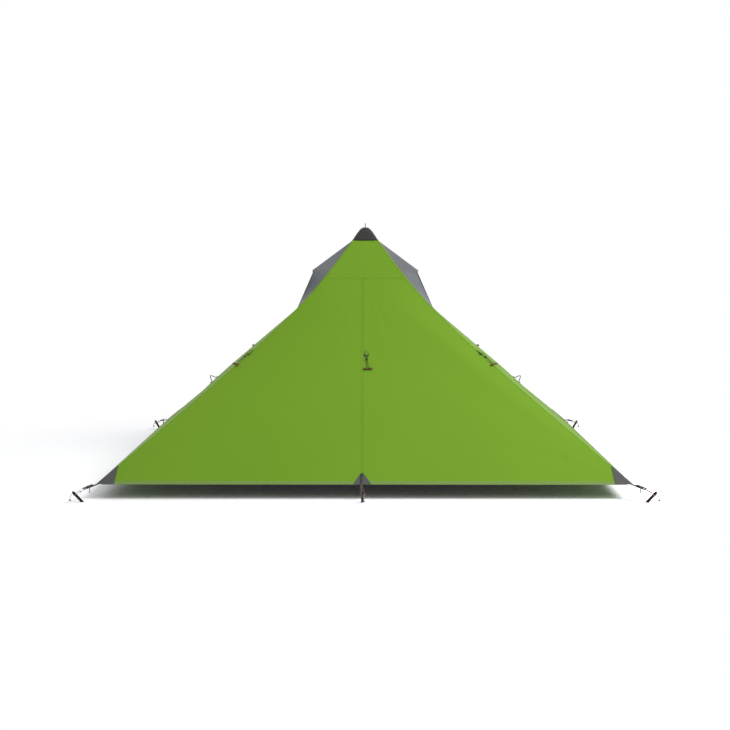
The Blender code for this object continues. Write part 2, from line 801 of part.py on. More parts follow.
def strap_rows():
    """The webbing in its own YZ plane: out to the ring, round its bar and back, in two layers."""
    bend = RING_WIRE + TOUCH + STRAP_THICKNESS / 2
    path = [(0.0, -STRAP_SEWN), (0.0, STRAP_LENGTH)]
    steps = 6
    for i in range(1, steps):
        angle = math.pi * i / steps
        path.append((bend - bend * math.cos(angle), STRAP_LENGTH + bend * math.sin(angle)))
    path += [(2 * bend, STRAP_LENGTH), (2 * bend - 2 * TOUCH, STRAP_LENGTH - STRAP_TAIL)]
    return [[(x, y, z) for x in (-STRAP_WIDTH / 2, STRAP_WIDTH / 2)] for y, z in path]


def corner_patch(corner, sign_x, sign_y):
    """Two small triangles that meet on the ridge, with the webbing that is sewn into their tip."""
    ridge = ridge_r(PATCH_TOP_Z)
    top = (sign_x * ridge, sign_y * PLAN_RATIO * ridge, PATCH_TOP_Z)
    tip = (sign_x * BASE_HALF_X, sign_y * BASE_HALF_Y, HEM_HEIGHT)
    along_x = (sign_x * (BASE_HALF_X - PATCH_HEM), sign_y * BASE_HALF_Y, HEM_HEIGHT)
    along_y = (sign_x * BASE_HALF_X, sign_y * (BASE_HALF_Y - PATCH_HEM), HEM_HEIGHT)
    points = [top, tip, along_x, along_y]
    faces = face_outwards(points, [(0, 1, 2), (0, 3, 1)], (0, sign_y, 0.7))
    patch = mesh_object(f"corner_patch_{corner}", points, faces, DARK_CLOTH, smooth=False)
    thicken(patch, FLY_CLOTH)
    rows = strap_rows()
    points = [p for row in rows for p in row]
    strap = mesh_object("strap", points, grid_faces(len(rows), 2), WEBBING, smooth=False)
    layer = strap.modifiers.new("webbing", "SOLIDIFY")
    layer.thickness = STRAP_THICKNESS
    layer.offset = 0.0
    strap.matrix_world = strap_frame(sign_x, sign_y)
    return combine(as_mesh(patch), [as_mesh(strap)])


def outward_direction(sign_x, sign_y):
    return Vector((sign_x * BASE_HALF_X, sign_y * BASE_HALF_Y, 0)).normalized()


def strap_frame(sign_x, sign_y):
    """Frame at a corner's tip: Z runs out and down along the webbing, Y stands up from it."""
    direction = outward_direction(sign_x, sign_y)
    run = direction * math.cos(STRAP_SLOPE) - Vector((0, 0, math.sin(STRAP_SLOPE)))
    tip = Vector((sign_x * BASE_HALF_X, sign_y * BASE_HALF_Y, HEM_HEIGHT - STRAP_THICKNESS / 2))
    return frame_at(tip, run, (0, 0, 1))


def bar_frame(sign_x, sign_y):
    """Frame at the ring's bar inside the webbing's bend."""
    bend = RING_WIRE + TOUCH + STRAP_THICKNESS / 2
    return strap_frame(sign_x, sign_y) @ Matrix.Translation((0, bend, STRAP_LENGTH))


def corner_ring(corner, sign_x, sign_y):
    """Plastic ring: the webbing holds one long side, the cord the other."""
    ring = tube(f"corner_ring_{corner}", ring_points(RING_WIDTH, RING_LENGTH), RING_WIRE, PLASTIC, 1)
    ring.data.splines[0].use_cyclic_u = True
    ring.matrix_world = bar_frame(sign_x, sign_y)
    return ring


def peg_arc(end, direction, steps=8):
    """The cord's turn round a peg, in a plane square to the peg's lean."""
    across = Vector((-direction[1], direction[0], 0)).normalized()
    behind = Vector(direction) * math.cos(PEG_LEAN) - Vector((0, 0, math.sin(PEG_LEAN)))
    arc = []
    for i in range(steps + 1):
        angle = math.pi * (i / steps - 0.5)
        aside, past = math.sin(angle) * LOOP_HALF_WIDTH, math.cos(angle) * LOOP_REACH
        arc.append(Vector(end) + across * aside + behind * past)
    return arc


def corner_cord(corner, sign_x, sign_y):
    """One cord, tied into a loop: over the ring's bar, out and round the peg, and back under the bar."""
    frame = bar_frame(sign_x, sign_y)
    direction = outward_direction(sign_x, sign_y)
    across = Vector((-direction[1], direction[0], 0))
    bar = frame @ Vector((0, 0, RING_LENGTH))
    run = (frame.to_3x3() @ Vector((0, 0, 1))).normalized()
    lift = (frame.to_3x3() @ Vector((0, 1, 0))).normalized()
    end = bar + direction * CORNER_CORD_LENGTH
    end.z = CORD_END_Z
    wrap = RING_WIRE + TOUCH + CORD_DIAMETER / 2
    leg = CORD_DIAMETER
    turn = []
    for i in range(7):
        angle = math.pi * i / 6
        side = leg * (2 * i / 6 - 1)
        turn.append(bar + lift * wrap * math.cos(angle) - run * wrap * math.sin(angle) + across * side)
    arc = peg_arc(end, direction)
    knot = turn[-1].lerp(arc[-1], 0.45)
    toward = (arc[-1] - turn[-1]).normalized()
    points = [knot - toward * TOUCH, *reversed(turn), *arc, knot + toward * TOUCH * 2]
    tube(f"corner_cord_{corner}", points, CORD_DIAMETER / 2, CORD, 2)
    return peg_frame(direction, end)


def hem_cord(name, sign_y, x, slant):
    """Cord loop from the middle of the front or back hem to its peg."""
    direction = Vector((slant, sign_y, 0)).normalized()
    start = Vector((x, sign_y * (BASE_HALF_Y - FLY_CLOTH), HEM_HEIGHT - CORD_DIAMETER / 2 - FLY_CLOTH))
    end = start + direction * HEM_CORD_LENGTH
    end.z = CORD_END_Z
    across = Vector((-direction.y, direction.x, 0)) * CORD_DIAMETER * 0.6
    arc = peg_arc(end, direction)
    legs = [(start - across, arc[0]), (start + across, arc[-1])]
    out = [legs[0][0].lerp(legs[0][1], i / 3) for i in range(3)]
    back = [legs[1][1].lerp(legs[1][0], i / 3) for i in range(1, 4)]
    tube(f"hem_cord_{name}", [*out, *arc, *back], CORD_DIAMETER / 2, CORD, 2)
    return peg_frame(direction, end)


peg_places = {}
for corner, (sign_x, sign_y) in CORNER_SIGNS.items():
    corner_patch(corner, sign_x, sign_y)
    corner_ring(corner, sign_x, sign_y)
    peg_places[f"peg_{corner}"] = corner_cord(corner, sign_x, sign_y)
front_x = ZIP_X - ZIP_WIDTH / 2 - CORD_DIAMETER
peg_places["peg_front"] = hem_cord("front", -1, front_x, FRONT_CORD_SLANT)
peg_places["peg_back"] = hem_cord("back", 1, 0.0, 0.0)
copies(peg_master(), peg_places, PEG_METAL)


# Toggles


def toggle_master():
    """A webbing tab with its ring, a short cord and the toggle bar, hanging down the slope."""
    half = TOGGLE_LENGTH / 2
    profile = [
        (0.0, half),
        (TOGGLE_RADIUS * 0.75, half),
        (TOGGLE_RADIUS, half * 0.93),
        (TOGGLE_RADIUS, half * 0.28),
        (TOGGLE_WAIST, half * 0.18),
        (TOGGLE_WAIST, -half * 0.18),
        (TOGGLE_RADIUS, -half * 0.28),
        (TOGGLE_RADIUS, -half * 0.93),
        (TOGGLE_RADIUS * 0.75, -half),
        (0.0, -half),
    ]
    bar = turned("toggle_bar", profile, TOGGLE_PLASTIC, segments=14)
    bar.rotation_euler = (0, math.pi / 2, 0)
    bar.location = (0, TOGGLE_RADIUS + 0.0016, -TOGGLE_DROP)
    bar = as_mesh(bar)
    tab_size = (TAB_WIDTH, TAB_THICKNESS, TAB_LENGTH)
    tab = as_mesh(box("toggle_tab", tab_size, (0, TAB_THICKNESS / 2, 0), WEBBING, bevel=0.0006))
    ring_size = (TAB_WIDTH + 0.006, TAB_RING, 0.010)
    ring = box("toggle_ring", ring_size, (0, TAB_RING / 2, -TAB_LENGTH / 2), PLASTIC, bevel=0.0015)
    ring = as_mesh(ring)
    cord_y = TOGGLE_RADIUS * 0.8
    route = [
        (0, cord_y * 0.7, -TAB_LENGTH / 2),
        (0.001, cord_y, -TOGGLE_DROP * 0.7),
        (0, TOGGLE_RADIUS, -TOGGLE_DROP),
    ]
    cord = as_mesh(tube("toggle_cord", route, TOGGLE_CORD_RADIUS, WEBBING, 1))
    return combine(tab, [ring, cord, bar])


def ridge_tangent(z):
    """Direction up the ridge in plan distance and height."""
    r = ridge_r(z)
    step = 0.01
    return (ridge_z(r + step) - ridge_z(r - step)) / (2 * step)


def toggle_places():
    r = ridge_r(TOGGLE_Z)
    fall = ridge_tangent(TOGGLE_Z)
    places = {}
    for corner, (sign_x, sign_y) in CORNER_SIGNS.items():
        up = Vector((-sign_x, -sign_y * PLAN_RATIO, -fall))
        outward = Vector((sign_x, sign_y / PLAN_RATIO, 1.0))
        spot = Vector((sign_x * r, sign_y * PLAN_RATIO * r, TOGGLE_Z))
        frame = frame_at(spot, up, outward)
        lift = (frame.to_3x3() @ Vector((0, 1, 0))) * TOGGLE_LIFT
        places[f"toggle_{corner}"] = Matrix.Translation(lift) @ frame
    for name, sign_y in (("front", -1), ("back", 1)):
        if name == "front":
            spot_y, x = door_plane_y(TOGGLE_Z), DOOR_LEFT_X + TOGGLE_LENGTH / 2
            fall_y = (door_plane_y(TOGGLE_Z - 0.01) - door_plane_y(TOGGLE_Z + 0.01)) / 0.02
            up = Vector((0, -fall_y, 1.0))
            outward = Vector((0, -1, -fall_y))
        else:
            spot_y, x = back_centre_y(TOGGLE_Z), 0.0
            fall_y = (back_centre_y(TOGGLE_Z - 0.04) - back_centre_y(TOGGLE_Z + 0.04)) / 0.08
            up = Vector((0, -fall_y, 1.0))
            outward = Vector((0, 1, fall_y))
        frame = frame_at((x, spot_y, TOGGLE_Z), up, outward)
        lift = (frame.to_3x3() @ Vector((0, 1, 0))) * 2 * TOUCH
        places[f"toggle_{name}"] = Matrix.Translation(lift) @ frame
    return places


def back_centre_y(z):
    """The back panel's centre line."""
    return PLAN_RATIO * ridge_r(z) + crown(z, CAP_SEAM_Z, HEM_HEIGHT, BACK_CROWN)


copies(toggle_master(), toggle_places(), TOGGLE_PLASTIC)


# Zip with its slider and pull


def door_slope():
    """Unit vectors in the door's plane, up the zip and out of the cloth."""
    up = Vector((0, DOOR_TOP_Y + BASE_HALF_Y, DOOR_SEAM_Z - HEM_HEIGHT)).normalized()
    return up, Vector((0, -up.z, up.y))


def zip_parts():
    up, out = door_slope()
    foot = Vector((ZIP_X, -BASE_HALF_Y, HEM_HEIGHT)) + up * 0.001
    head = Vector((ZIP_X, door_plane_y(DOOR_HEAD_Z), DOOR_HEAD_Z)) - up * 0.001
    length = (head - foot).length
    centre = (foot + head) / 2 - out * (FLY_CLOTH / 2)
    turn = frame_at((0, 0, 0), up, out)
    box("zip_coil", (ZIP_WIDTH, ZIP_THICKNESS, length), centre, PLASTIC, turn=turn)
    coil_top = (ZIP_THICKNESS - FLY_CLOTH) / 2
    slider_at = foot + up * SLIDER_REST + out * (coil_top + TOUCH + SLIDER_HEIGHT / 2)
    slider_at.x = DOOR_LEFT_X - TOUCH - SLIDER_WIDTH / 2
    slider = box("zip_slider", (SLIDER_WIDTH, SLIDER_HEIGHT, SLIDER_LENGTH), slider_at, STEEL, 0.0012, turn)
    pull_at = slider_at + out * (SLIDER_HEIGHT / 2 + TOUCH + PULL_THICKNESS / 2)
    pull = box("zip_pull", (PULL_WIDTH, PULL_THICKNESS, PULL_LENGTH), pull_at, STEEL, 0.0008, turn)
    pull.data.transform(Matrix.Translation((0, 0, (PULL_THICKNESS - PULL_LENGTH) / 2)))
    return slider, pull


zip_parts()


# Trekking pole


def hollow_tube(name, radius, wall, foot_z, top_z, paint):
    """A plain tube, open at both ends."""
    profile = [(radius - wall, top_z), (radius, top_z), (radius, foot_z), (radius - wall, foot_z)]
    return turned(name, profile, paint)


def pole_tip():
    """Plastic end cone and steel needle; the eyelet sits on the cone's shoulder."""
    bore = THIN_RADIUS + TUBE_CLEARANCE
    profile = [
        (0.0, TIP_TOP_Z),
        (TIP_NEEDLE_RADIUS * 0.6, TIP_TOP_Z - 0.001),
        (TIP_NEEDLE_RADIUS, TIP_TOP_Z - 0.006),
        (TIP_NEEDLE_RADIUS, TIP_SHOULDER_Z + 0.0005),
        (TIP_SHOULDER_RADIUS * 0.75, TIP_SHOULDER_Z),
        (TIP_SHOULDER_RADIUS, TIP_SHOULDER_Z - 0.006),
        (TIP_SHOULDER_RADIUS, THIN_TOP_Z - TIP_SOCKET),
        (bore, THIN_TOP_Z - TIP_SOCKET),
        (bore, THIN_TOP_Z + TOUCH),
        (0.0, THIN_TOP_Z + TOUCH),
    ]
    return turned("pole_tip", profile, PLASTIC)


def pole_grip():
    """Foam grip with finger swells and a rounded butt, standing on the floor."""
    bore = GRIP_TUBE_RADIUS + TUBE_CLEARANCE
    foot = TUB_CLOTH + GRIP_FOOT_GAP
    socket = foot + GRIP_SOCKET_Z
    below = [(GRIP_FOOT_RADIUS, foot), (0.0, foot), (0.0, socket)]
    return turned("pole_grip", [*GRIP_OUTLINE, *below, (bore, socket), (bore, GRIP_TOP_Z)], FOAM)


def collar_radius(tube_radius):
    return tube_radius + TOUCH + CLAMP_WALL


def pin_distance(tube_radius):
    """How far a clamp's pin stands from the pole's axis."""
    return collar_radius(tube_radius) + KNUCKLE_RADIUS + LEVER_CLEARANCE


def clamp(name, tube_radius, top_z):
    """Clamp collar round the top of a tube, with two ears that carry its lever's pin."""
    bore, outer = tube_radius + TOUCH, collar_radius(tube_radius)
    foot_z = top_z - CLAMP_HEIGHT
    profile = [(bore, top_z), (outer, top_z), (outer, foot_z), (bore, foot_z)]
    collar = as_mesh(turned(name, profile, PLASTIC))
    pin = pin_distance(tube_radius)
    ears = []
    for z in (top_z - EAR_THICKNESS / 2, top_z - CLAMP_HEIGHT + EAR_THICKNESS / 2):
        near, far = bore + CLAMP_WALL / 2, pin + KNUCKLE_RADIUS
        size = (2 * KNUCKLE_RADIUS, far - near, EAR_THICKNESS)
        ears.append(as_mesh(box("ear", size, (0, -(near + far) / 2, z), PLASTIC, bevel=0.0010)))
    return combine(collar, ears)


def lever(name, tube_radius, top_z):
    """Cam lever: a knuckle between the ears, an arm round a third of the collar. It turns on its pin."""
    inner = collar_radius(tube_radius) + LEVER_CLEARANCE
    outer = inner + LEVER_THICKNESS
    pin = Vector((0, -pin_distance(tube_radius), top_z - CLAMP_HEIGHT / 2))
    steps = 10
    angles = [math.radians(lerp(-90 + 8, -90 + LEVER_WRAP, i / steps)) for i in range(steps + 1)]
    outline = [(outer * math.cos(a), outer * math.sin(a)) for a in angles]
    outline += [(inner * math.cos(a), inner * math.sin(a)) for a in reversed(angles)]
    curve = bpy.data.curves.new(name, "CURVE")
    curve.dimensions = "2D"
    curve.fill_mode = "BOTH"
    curve.extrude = LEVER_HEIGHT / 2
    spline = curve.splines.new("POLY")
    spline.points.add(len(outline) - 1)
    for point, (x, y) in zip(spline.points, outline):
        point.co = (x - pin.x, y - pin.y, 0.0, 1.0)
    spline.use_cyclic_u = True
    arm = add(bpy.data.objects.new(name, curve), PLASTIC)
    knuckle_height = CLAMP_HEIGHT - 2 * EAR_THICKNESS - 2 * LEVER_CLEARANCE
    half = knuckle_height / 2
    profile = [(0.0, half), (KNUCKLE_RADIUS, half), (KNUCKLE_RADIUS, -half), (0.0, -half)]
    knuckle = as_mesh(turned("knuckle", profile, PLASTIC, segments=16))
    joined = combine(as_mesh(arm), [knuckle])
    joined.location = pin
    return joined


hollow_tube("pole_thin_tube", THIN_RADIUS, TUBE_WALL, THIN_FOOT_Z, THIN_TOP_Z, TUBE_METAL)
hollow_tube("pole_middle_tube", MIDDLE_RADIUS, TUBE_WALL, MIDDLE_FOOT_Z, MIDDLE_TOP_Z, TUBE_METAL)
hollow_tube("pole_grip_tube", GRIP_TUBE_RADIUS, TUBE_WALL, GRIP_TUBE_FOOT_Z, GRIP_TUBE_TOP_Z, TUBE_METAL)
pole_tip()
pole_grip()
clamp("pole_upper_clamp", MIDDLE_RADIUS, MIDDLE_TOP_Z + 0.002)
clamp("pole_lower_clamp", GRIP_TUBE_RADIUS, GRIP_TUBE_TOP_Z + 0.002)
lever("pole_upper_lever", MIDDLE_RADIUS, MIDDLE_TOP_Z + 0.002)
lever("pole_lower_lever", GRIP_TUBE_RADIUS, GRIP_TUBE_TOP_Z + 0.002)


# Inner tent


def inner_floor():
    """Floor tub: a flat floor with walls that lean in a little."""
    top_x, top_y = FLOOR_HALF_X - TUB_LEAN, FLOOR_HALF_Y - TUB_LEAN
    around = [(-1, -1), (1, -1), (1, 1), (-1, 1)]
    points = [(sx * FLOOR_HALF_X, sy * FLOOR_HALF_Y, 0.0) for sx, sy in around]
    points += [(sx * top_x, sy * top_y, TUB_HEIGHT) for sx, sy in around]
    faces = [(0, 3, 2, 1)] + [(i, (i + 1) % 4, (i + 1) % 4 + 4, i + 4) for i in range(4)]
    return thicken(mesh_object("inner_floor", points, faces, FLOOR_CLOTH, smooth=False), TUB_CLOTH)


def net_half(z, floor_half):
    """Half size of the net pyramid at height z, along one axis."""
    foot = floor_half - TUB_LEAN
    share = (NET_PEAK_Z - z) / (NET_PEAK_Z - TUB_HEIGHT)
    return lerp(NET_PEAK_HALF, foot, share)


def net_wall(name, start, end, outward):
    """One flat wall of the net between two plan directions at its foot and at the peak."""
    foot_z = TUB_HEIGHT + TOUCH + NET_CLOTH
    rows = []
    for z in (NET_PEAK_Z, foot_z):
        half_x, half_y = net_half(z, FLOOR_HALF_X), net_half(z, FLOOR_HALF_Y)
        rows.append([(s[0] * half_x + s[2], s[1] * half_y, z) for s in (start, end)])
    return cloth(name, rows, outward, NET, NET_CLOTH)


def inner_door_roll():
    """The net's right door half, rolled up along the edge of the right wall."""
    points = []
    fall = Vector((FLOOR_HALF_X - TUB_LEAN - NET_PEAK_HALF, 0, -(NET_PEAK_Z - TUB_HEIGHT))).normalized()
    inward = Vector((fall.z, 0, -fall.x))
    away = inward * (ROLL_RADIUS + NET_CLOTH + ROLL_CLEARANCE)
    for share in (0.10, 0.35, 0.60, 0.82):
        z = lerp(NET_PEAK_Z, TUB_HEIGHT, share)
        half_x, half_y = net_half(z, FLOOR_HALF_X), net_half(z, FLOOR_HALF_Y)
        points.append(Vector((half_x, -half_y + ROLL_RADIUS * 1.6, z)) + away)
    return tube("inner_door_roll", points, ROLL_RADIUS, NET, 4)


inner_floor()
net_wall("inner_left_wall", (-1, -1, 0), (-1, 1, 0), (-1, 0, 1))
net_wall("inner_right_wall", (1, -1, 0), (1, 1, 0), (1, 0, 1))
net_wall("inner_back_wall", (-1, 1, NET_SEAM), (1, 1, -NET_SEAM), (0, 1, 1))
net_wall("inner_front_wall", (-1, -1, NET_SEAM), (0, -1, 0), (0, -1, 1))
inner_door_roll()
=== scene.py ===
# %% [markdown]
# # A pyramid trekking tent
#
# A light four-sided shelter of silicone-coated nylon, held up by one trekking pole and pulled tight by
# six pegs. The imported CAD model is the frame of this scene: it says where every part is and how it
# moves. This script dresses that frame with cloth, seams, cords and small hardware, gives each of them
# a material built from nodes, and lights the result on a pale floor.
#
# Everything is in metres, with Z up. The front, with the zipped door, faces -Y.

# %% Load the frame
import math

import bpy
from mathutils import Matrix, Vector


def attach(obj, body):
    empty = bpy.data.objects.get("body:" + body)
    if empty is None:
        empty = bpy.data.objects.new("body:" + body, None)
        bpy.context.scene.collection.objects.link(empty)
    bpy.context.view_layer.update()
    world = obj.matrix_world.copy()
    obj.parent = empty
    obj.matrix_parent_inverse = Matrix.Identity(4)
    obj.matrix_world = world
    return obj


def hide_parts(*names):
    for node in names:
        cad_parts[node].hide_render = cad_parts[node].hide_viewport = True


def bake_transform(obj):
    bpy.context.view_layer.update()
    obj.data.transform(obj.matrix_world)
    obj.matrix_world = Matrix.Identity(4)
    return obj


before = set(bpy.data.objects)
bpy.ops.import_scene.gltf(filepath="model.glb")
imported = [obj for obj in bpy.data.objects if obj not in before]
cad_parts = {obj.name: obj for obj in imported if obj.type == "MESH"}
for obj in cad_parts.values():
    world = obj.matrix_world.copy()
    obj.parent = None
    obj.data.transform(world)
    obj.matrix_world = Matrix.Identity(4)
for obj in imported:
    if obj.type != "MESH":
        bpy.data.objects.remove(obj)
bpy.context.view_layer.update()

# %% [markdown]
# ## The camera
#
# The photograph was taken from straight in front, a little above the middle of the tent, with a long
# lens. Distance, height, tilt and focal length were fitted to the corners, the ridges and the peak in the
# photograph, which is 730 pixels square. A tilted camera needs no lens shift, so the other views stay
# centred.

# %% Place the camera
IMAGE_PIXELS = 730
SENSOR_MM = 36.0
FOCAL_PIXELS = 1397.2
CAMERA_PLACE = (0.0262, -7.558, 1.2246)
CAMERA_TILT = 0.0925
CAMERA_TURN = 0.0037

camera_data = bpy.data.cameras.new("front_camera")
camera_data.sensor_width = SENSOR_MM
camera_data.lens = FOCAL_PIXELS * SENSOR_MM / IMAGE_PIXELS
camera = bpy.data.objects.new("front_camera", camera_data)
camera.location = CAMERA_PLACE
camera.rotation_euler = (math.pi / 2 - CAMERA_TILT, 0, CAMERA_TURN)
bpy.context.scene.collection.objects.link(camera)
bpy.context.scene.camera = camera
print("focal length", round(camera_data.lens, 1), "mm")

# %% [markdown]
# ## Colours and nodes
#
# Colours are written as the hex values that a picture program shows. Blender's shaders work with linear
# light, so one function turns them. Another adds a shader node and fills its inputs, which keeps each
# material short enough to read: an input that is given another node's output is linked to it.

# %% Helpers for materials
def linear(hex_colour):
    """The sRGB curve: a colour such as #78a235 as the linear red, green, blue and alpha of shaders."""
    parts = [int(hex_colour[i : i + 2], 16) / 255 for i in (1, 3, 5)]
    return (*[p / 12.92 if p <= 0.04045 else ((p + 0.055) / 1.055) ** 2.4 for p in parts], 1.0)


def fill_inputs(tree, node, inputs):
    for name, value in inputs.items():
        if isinstance(value, bpy.types.NodeSocket):
            tree.links.new(value, node.inputs[name])
        else:
            node.inputs[name].default_value = value


def add_node(tree, kind, inputs=None, **settings):
    """Adds a shader node with its settings and inputs, and returns its outputs."""
    node = tree.nodes.new("ShaderNode" + kind)
    for name, value in settings.items():
        setattr(node, name, value)
    fill_inputs(tree, node, inputs or {})
    return node.outputs


def new_material(name, **constants):
    """A Principled material to build on: the material, its node tree, its shader, its coordinates."""
    material = bpy.data.materials.new(name)
    material.use_nodes = True
    shader = material.node_tree.nodes["Principled BSDF"]
    for socket, value in constants.items():
        shader.inputs[socket.replace("_", " ")].default_value = value
    return material, material.node_tree, shader, add_node(material.node_tree, "TexCoord")


print("material helpers ready")

# %% [markdown]
# ## The cloths
#
# The fly is ripstop nylon coated with silicone. The woven base is far too fine to see, but every few
# millimetres a doubled thread runs each way and leaves a faint grid. The real grid has about 5 mm between
# its threads. It is drawn at 6 to 9 mm, because anything finer is lost at this size of picture. The UV map
# is in metres along the cut cloth, so the grid follows the weave on every panel. A wave texture of scale 1
# repeats every 0.314 units, and that gives its scale. Noise of scale 1 has grains about one unit across,
# so its scale is the number of grains in a metre.
#
# Taut green cloth in daylight looks almost matt, so it has hardly any specular and a faint sheen of its
# own colour. The grey cloths keep the coating's low satin shine. On all of them the shine wanders a little
# from place to place.

# %% Ripstop nylon
WAVE_METRES = 0.31416
THREAD_SHARPNESS, THREAD_SHOWS = 26.0, 0.22
DYE_MM, SHINE_MM, CREASE_MM = 625.0, 181.8, 83.33
SATIN = {"Specular_IOR_Level": 0.22}
GLOW = {"Specular_IOR_Level": 0.05, "Sheen_Weight": 0.16, "Sheen_Roughness": 0.35,
        "Sheen_Tint": linear("#b4d85a")}


def per_metre(size_mm):
    """The scale of a pattern whose grains are that many millimetres across."""
    return 1000 / size_mm


def ripstop(name, colour, lighter, thread, pitch_mm, gloss):
    """Coated ripstop cloth: two shades of dye, a faint thread grid, creases and a wandering shine."""
    material, tree, shader, where = new_material(name, **gloss)
    wave = {"Vector": where["UV"], "Scale": WAVE_METRES * per_metre(pitch_mm)}
    warp, weft = (add_node(tree, "TexWave", wave, bands_direction=way)["Fac"] for way in "XY")
    grid = add_node(tree, "Math", {0: warp, 1: weft}, operation="MAXIMUM")[0]
    grid = add_node(tree, "Math", {0: grid, 1: THREAD_SHARPNESS}, operation="POWER")[0]
    dye = {"Vector": where["Object"], "Scale": per_metre(DYE_MM), "Detail": 3.0}
    dye = add_node(tree, "TexNoise", dye)["Fac"]
    colours = {"Fac": dye, "Color1": linear(colour), "Color2": linear(lighter)}
    shade = add_node(tree, "MixRGB", colours)["Color"]
    faint = add_node(tree, "Math", {0: grid, 1: THREAD_SHOWS}, operation="MULTIPLY")[0]
    woven = add_node(tree, "MixRGB", {"Fac": faint, "Color1": shade, "Color2": linear(thread)})["Color"]
    shine = {"Vector": where["Object"], "Scale": per_metre(SHINE_MM)}
    shine = add_node(tree, "TexNoise", shine)["Fac"]
    shine = add_node(tree, "MapRange", {"Value": shine, "To Min": 0.44, "To Max": 0.58})["Result"]
    crease = {"Vector": where["Object"], "Scale": per_metre(CREASE_MM), "Detail": 3.0}
    crease = add_node(tree, "TexNoise", crease)["Fac"]
    creased = {"Height": crease, "Strength": 0.5, "Distance": 0.0016}
    creased = add_node(tree, "Bump", creased)["Normal"]
    raised = {"Height": grid, "Strength": 0.6, "Distance": 0.00012, "Normal": creased}
    raised = add_node(tree, "Bump", raised)["Normal"]
    fill_inputs(tree, shader, {"Base Color": woven, "Roughness": shine, "Normal": raised})
    return material


silnylon_green = ripstop("silicone_coated_nylon_green", "#78a52c", "#7fac30", "#90bb4a", 9.0, GLOW)
seam_green = ripstop("silicone_coated_nylon_seam", "#709b2a", "#76a12e", "#83ae42", 9.0, GLOW)
silnylon_grey = ripstop("silicone_coated_nylon_grey", "#74777a", "#7f8285", "#8f9295", 8.0, SATIN)
reinforced_grey = ripstop("ripstop_reinforcement_grey", "#555654", "#5d5e5c", "#686967", 7.0, SATIN)
reinforced_dark = ripstop("ripstop_reinforcement_dark", "#32332f", "#393a36", "#454642", 6.0, SATIN)
floor_silnylon = ripstop("silicone_coated_polyester_floor", "#3b3e41", "#43464a", "#54585c", 9.0, SATIN)
print("cloth materials", len(bpy.data.materials))

# %% [markdown]
# Insect net is a knit of thin black polyester yarns about a millimetre apart. Drawn at that size it would
# flicker, so the yarns are 4 mm apart here. Modelling each yarn would take millions of faces. Instead the
# sheet is plain, and the wave that draws the yarns makes the holes between them mostly see-through.

# %% Insect net
NET_FADE_MM = 125.0


def netting(name, colour, lighter, mesh_mm):
    material, tree, shader, where = new_material(name, Roughness=0.8, Specular_IOR_Level=0.2)
    wave = {"Vector": where["UV"], "Scale": WAVE_METRES * per_metre(mesh_mm)}
    warp, weft = (add_node(tree, "TexWave", wave, bands_direction=way)["Fac"] for way in "XY")
    yarns = add_node(tree, "Math", {0: warp, 1: weft}, operation="MAXIMUM")[0]
    hole = {"Value": yarns, "From Min": 0.35, "From Max": 0.85, "To Min": 0.25}
    hole = add_node(tree, "MapRange", hole)["Result"]
    fade = {"Vector": where["Object"], "Scale": per_metre(NET_FADE_MM)}
    fade = add_node(tree, "TexNoise", fade)["Fac"]
    colours = {"Fac": fade, "Color1": linear(colour), "Color2": linear(lighter)}
    shade = add_node(tree, "MixRGB", colours)["Color"]
    fill_inputs(tree, shader, {"Base Color": shade, "Alpha": hole})
    return material


insect_net = netting("knitted_polyester_net", "#232528", "#34363a", 4.0)
print(insect_net.name, "added")

# %% [markdown]
# Webbing and grosgrain tape are woven in slanting ribs across their width, and the ribs catch the light.
# Real ribs are about a millimetre apart. These are 2.4 mm apart, to show at all.

# %% Webbing and tapes
RIB_MM = 2.4


def webbing(name, colour, rib):
    material, tree, shader, where = new_material(name, Roughness=0.7, Specular_IOR_Level=0.35)
    wave = {"Vector": where["UV"], "Scale": WAVE_METRES * per_metre(RIB_MM)}
    ribs = add_node(tree, "TexWave", wave, bands_direction="DIAGONAL")["Fac"]
    colours = {"Fac": ribs, "Color1": linear(colour), "Color2": linear(rib)}
    shade = add_node(tree, "MixRGB", colours)["Color"]
    bump = add_node(tree, "Bump", {"Height": ribs, "Distance": 0.00025})["Normal"]
    fill_inputs(tree, shader, {"Base Color": shade, "Normal": bump})
    return material


black_webbing = webbing("nylon_webbing_black", "#1a1a19", "#292928")
green_tape = webbing("nylon_grosgrain_green", "#648c22", "#719c2b")
hem_tape = webbing("nylon_grosgrain_olive", "#779649", "#83a155")
grey_tape = webbing("nylon_grosgrain_grey", "#4c4e4d", "#5d5f5e")
print("ribs every", RIB_MM, "mm")

# %% [markdown]
# ## Cords, metals and plastics
#
# The guy cord is a thin braid in a pale rose grey, sewing thread is twisted, and the foam of a pole grip
# has shallow pores. A braid could be wound from separate strands, but at this size they would never be
# seen. One cell pattern, sunk a little into the surface between the cells, serves for all three, and the
# sunk gaps between the cells get a darker colour as painted shade. Real picks, twists and pores are under
# a millimetre. They are drawn at 1.2 to 1.6 mm, so that a close view shows them.

# %% Braid, thread and foam
def celled(name, colour, dark, cell_mm, depth_mm, roughness):
    """A matt surface of small cells: the picks of a braid, the twist of a thread or pores of a foam, with
    painted shade in the sunk gaps between the cells.
    """
    material, tree, shader, where = new_material(name, Roughness=roughness, Specular_IOR_Level=0.3)
    cell = {"Vector": where["Object"], "Scale": per_metre(cell_mm)}
    cell = add_node(tree, "TexVoronoi", cell)["Distance"]
    # Painted shade: the darker colour goes where the distance is largest, in the sunk gaps between the cells.
    colours = {"Fac": cell, "Color1": linear(colour), "Color2": linear(dark)}
    shade = add_node(tree, "MixRGB", colours)["Color"]
    bump = {"Height": cell, "Distance": depth_mm / 1000}
    bump = add_node(tree, "Bump", bump, invert=True)["Normal"]
    fill_inputs(tree, shader, {"Base Color": shade, "Normal": bump})
    return material


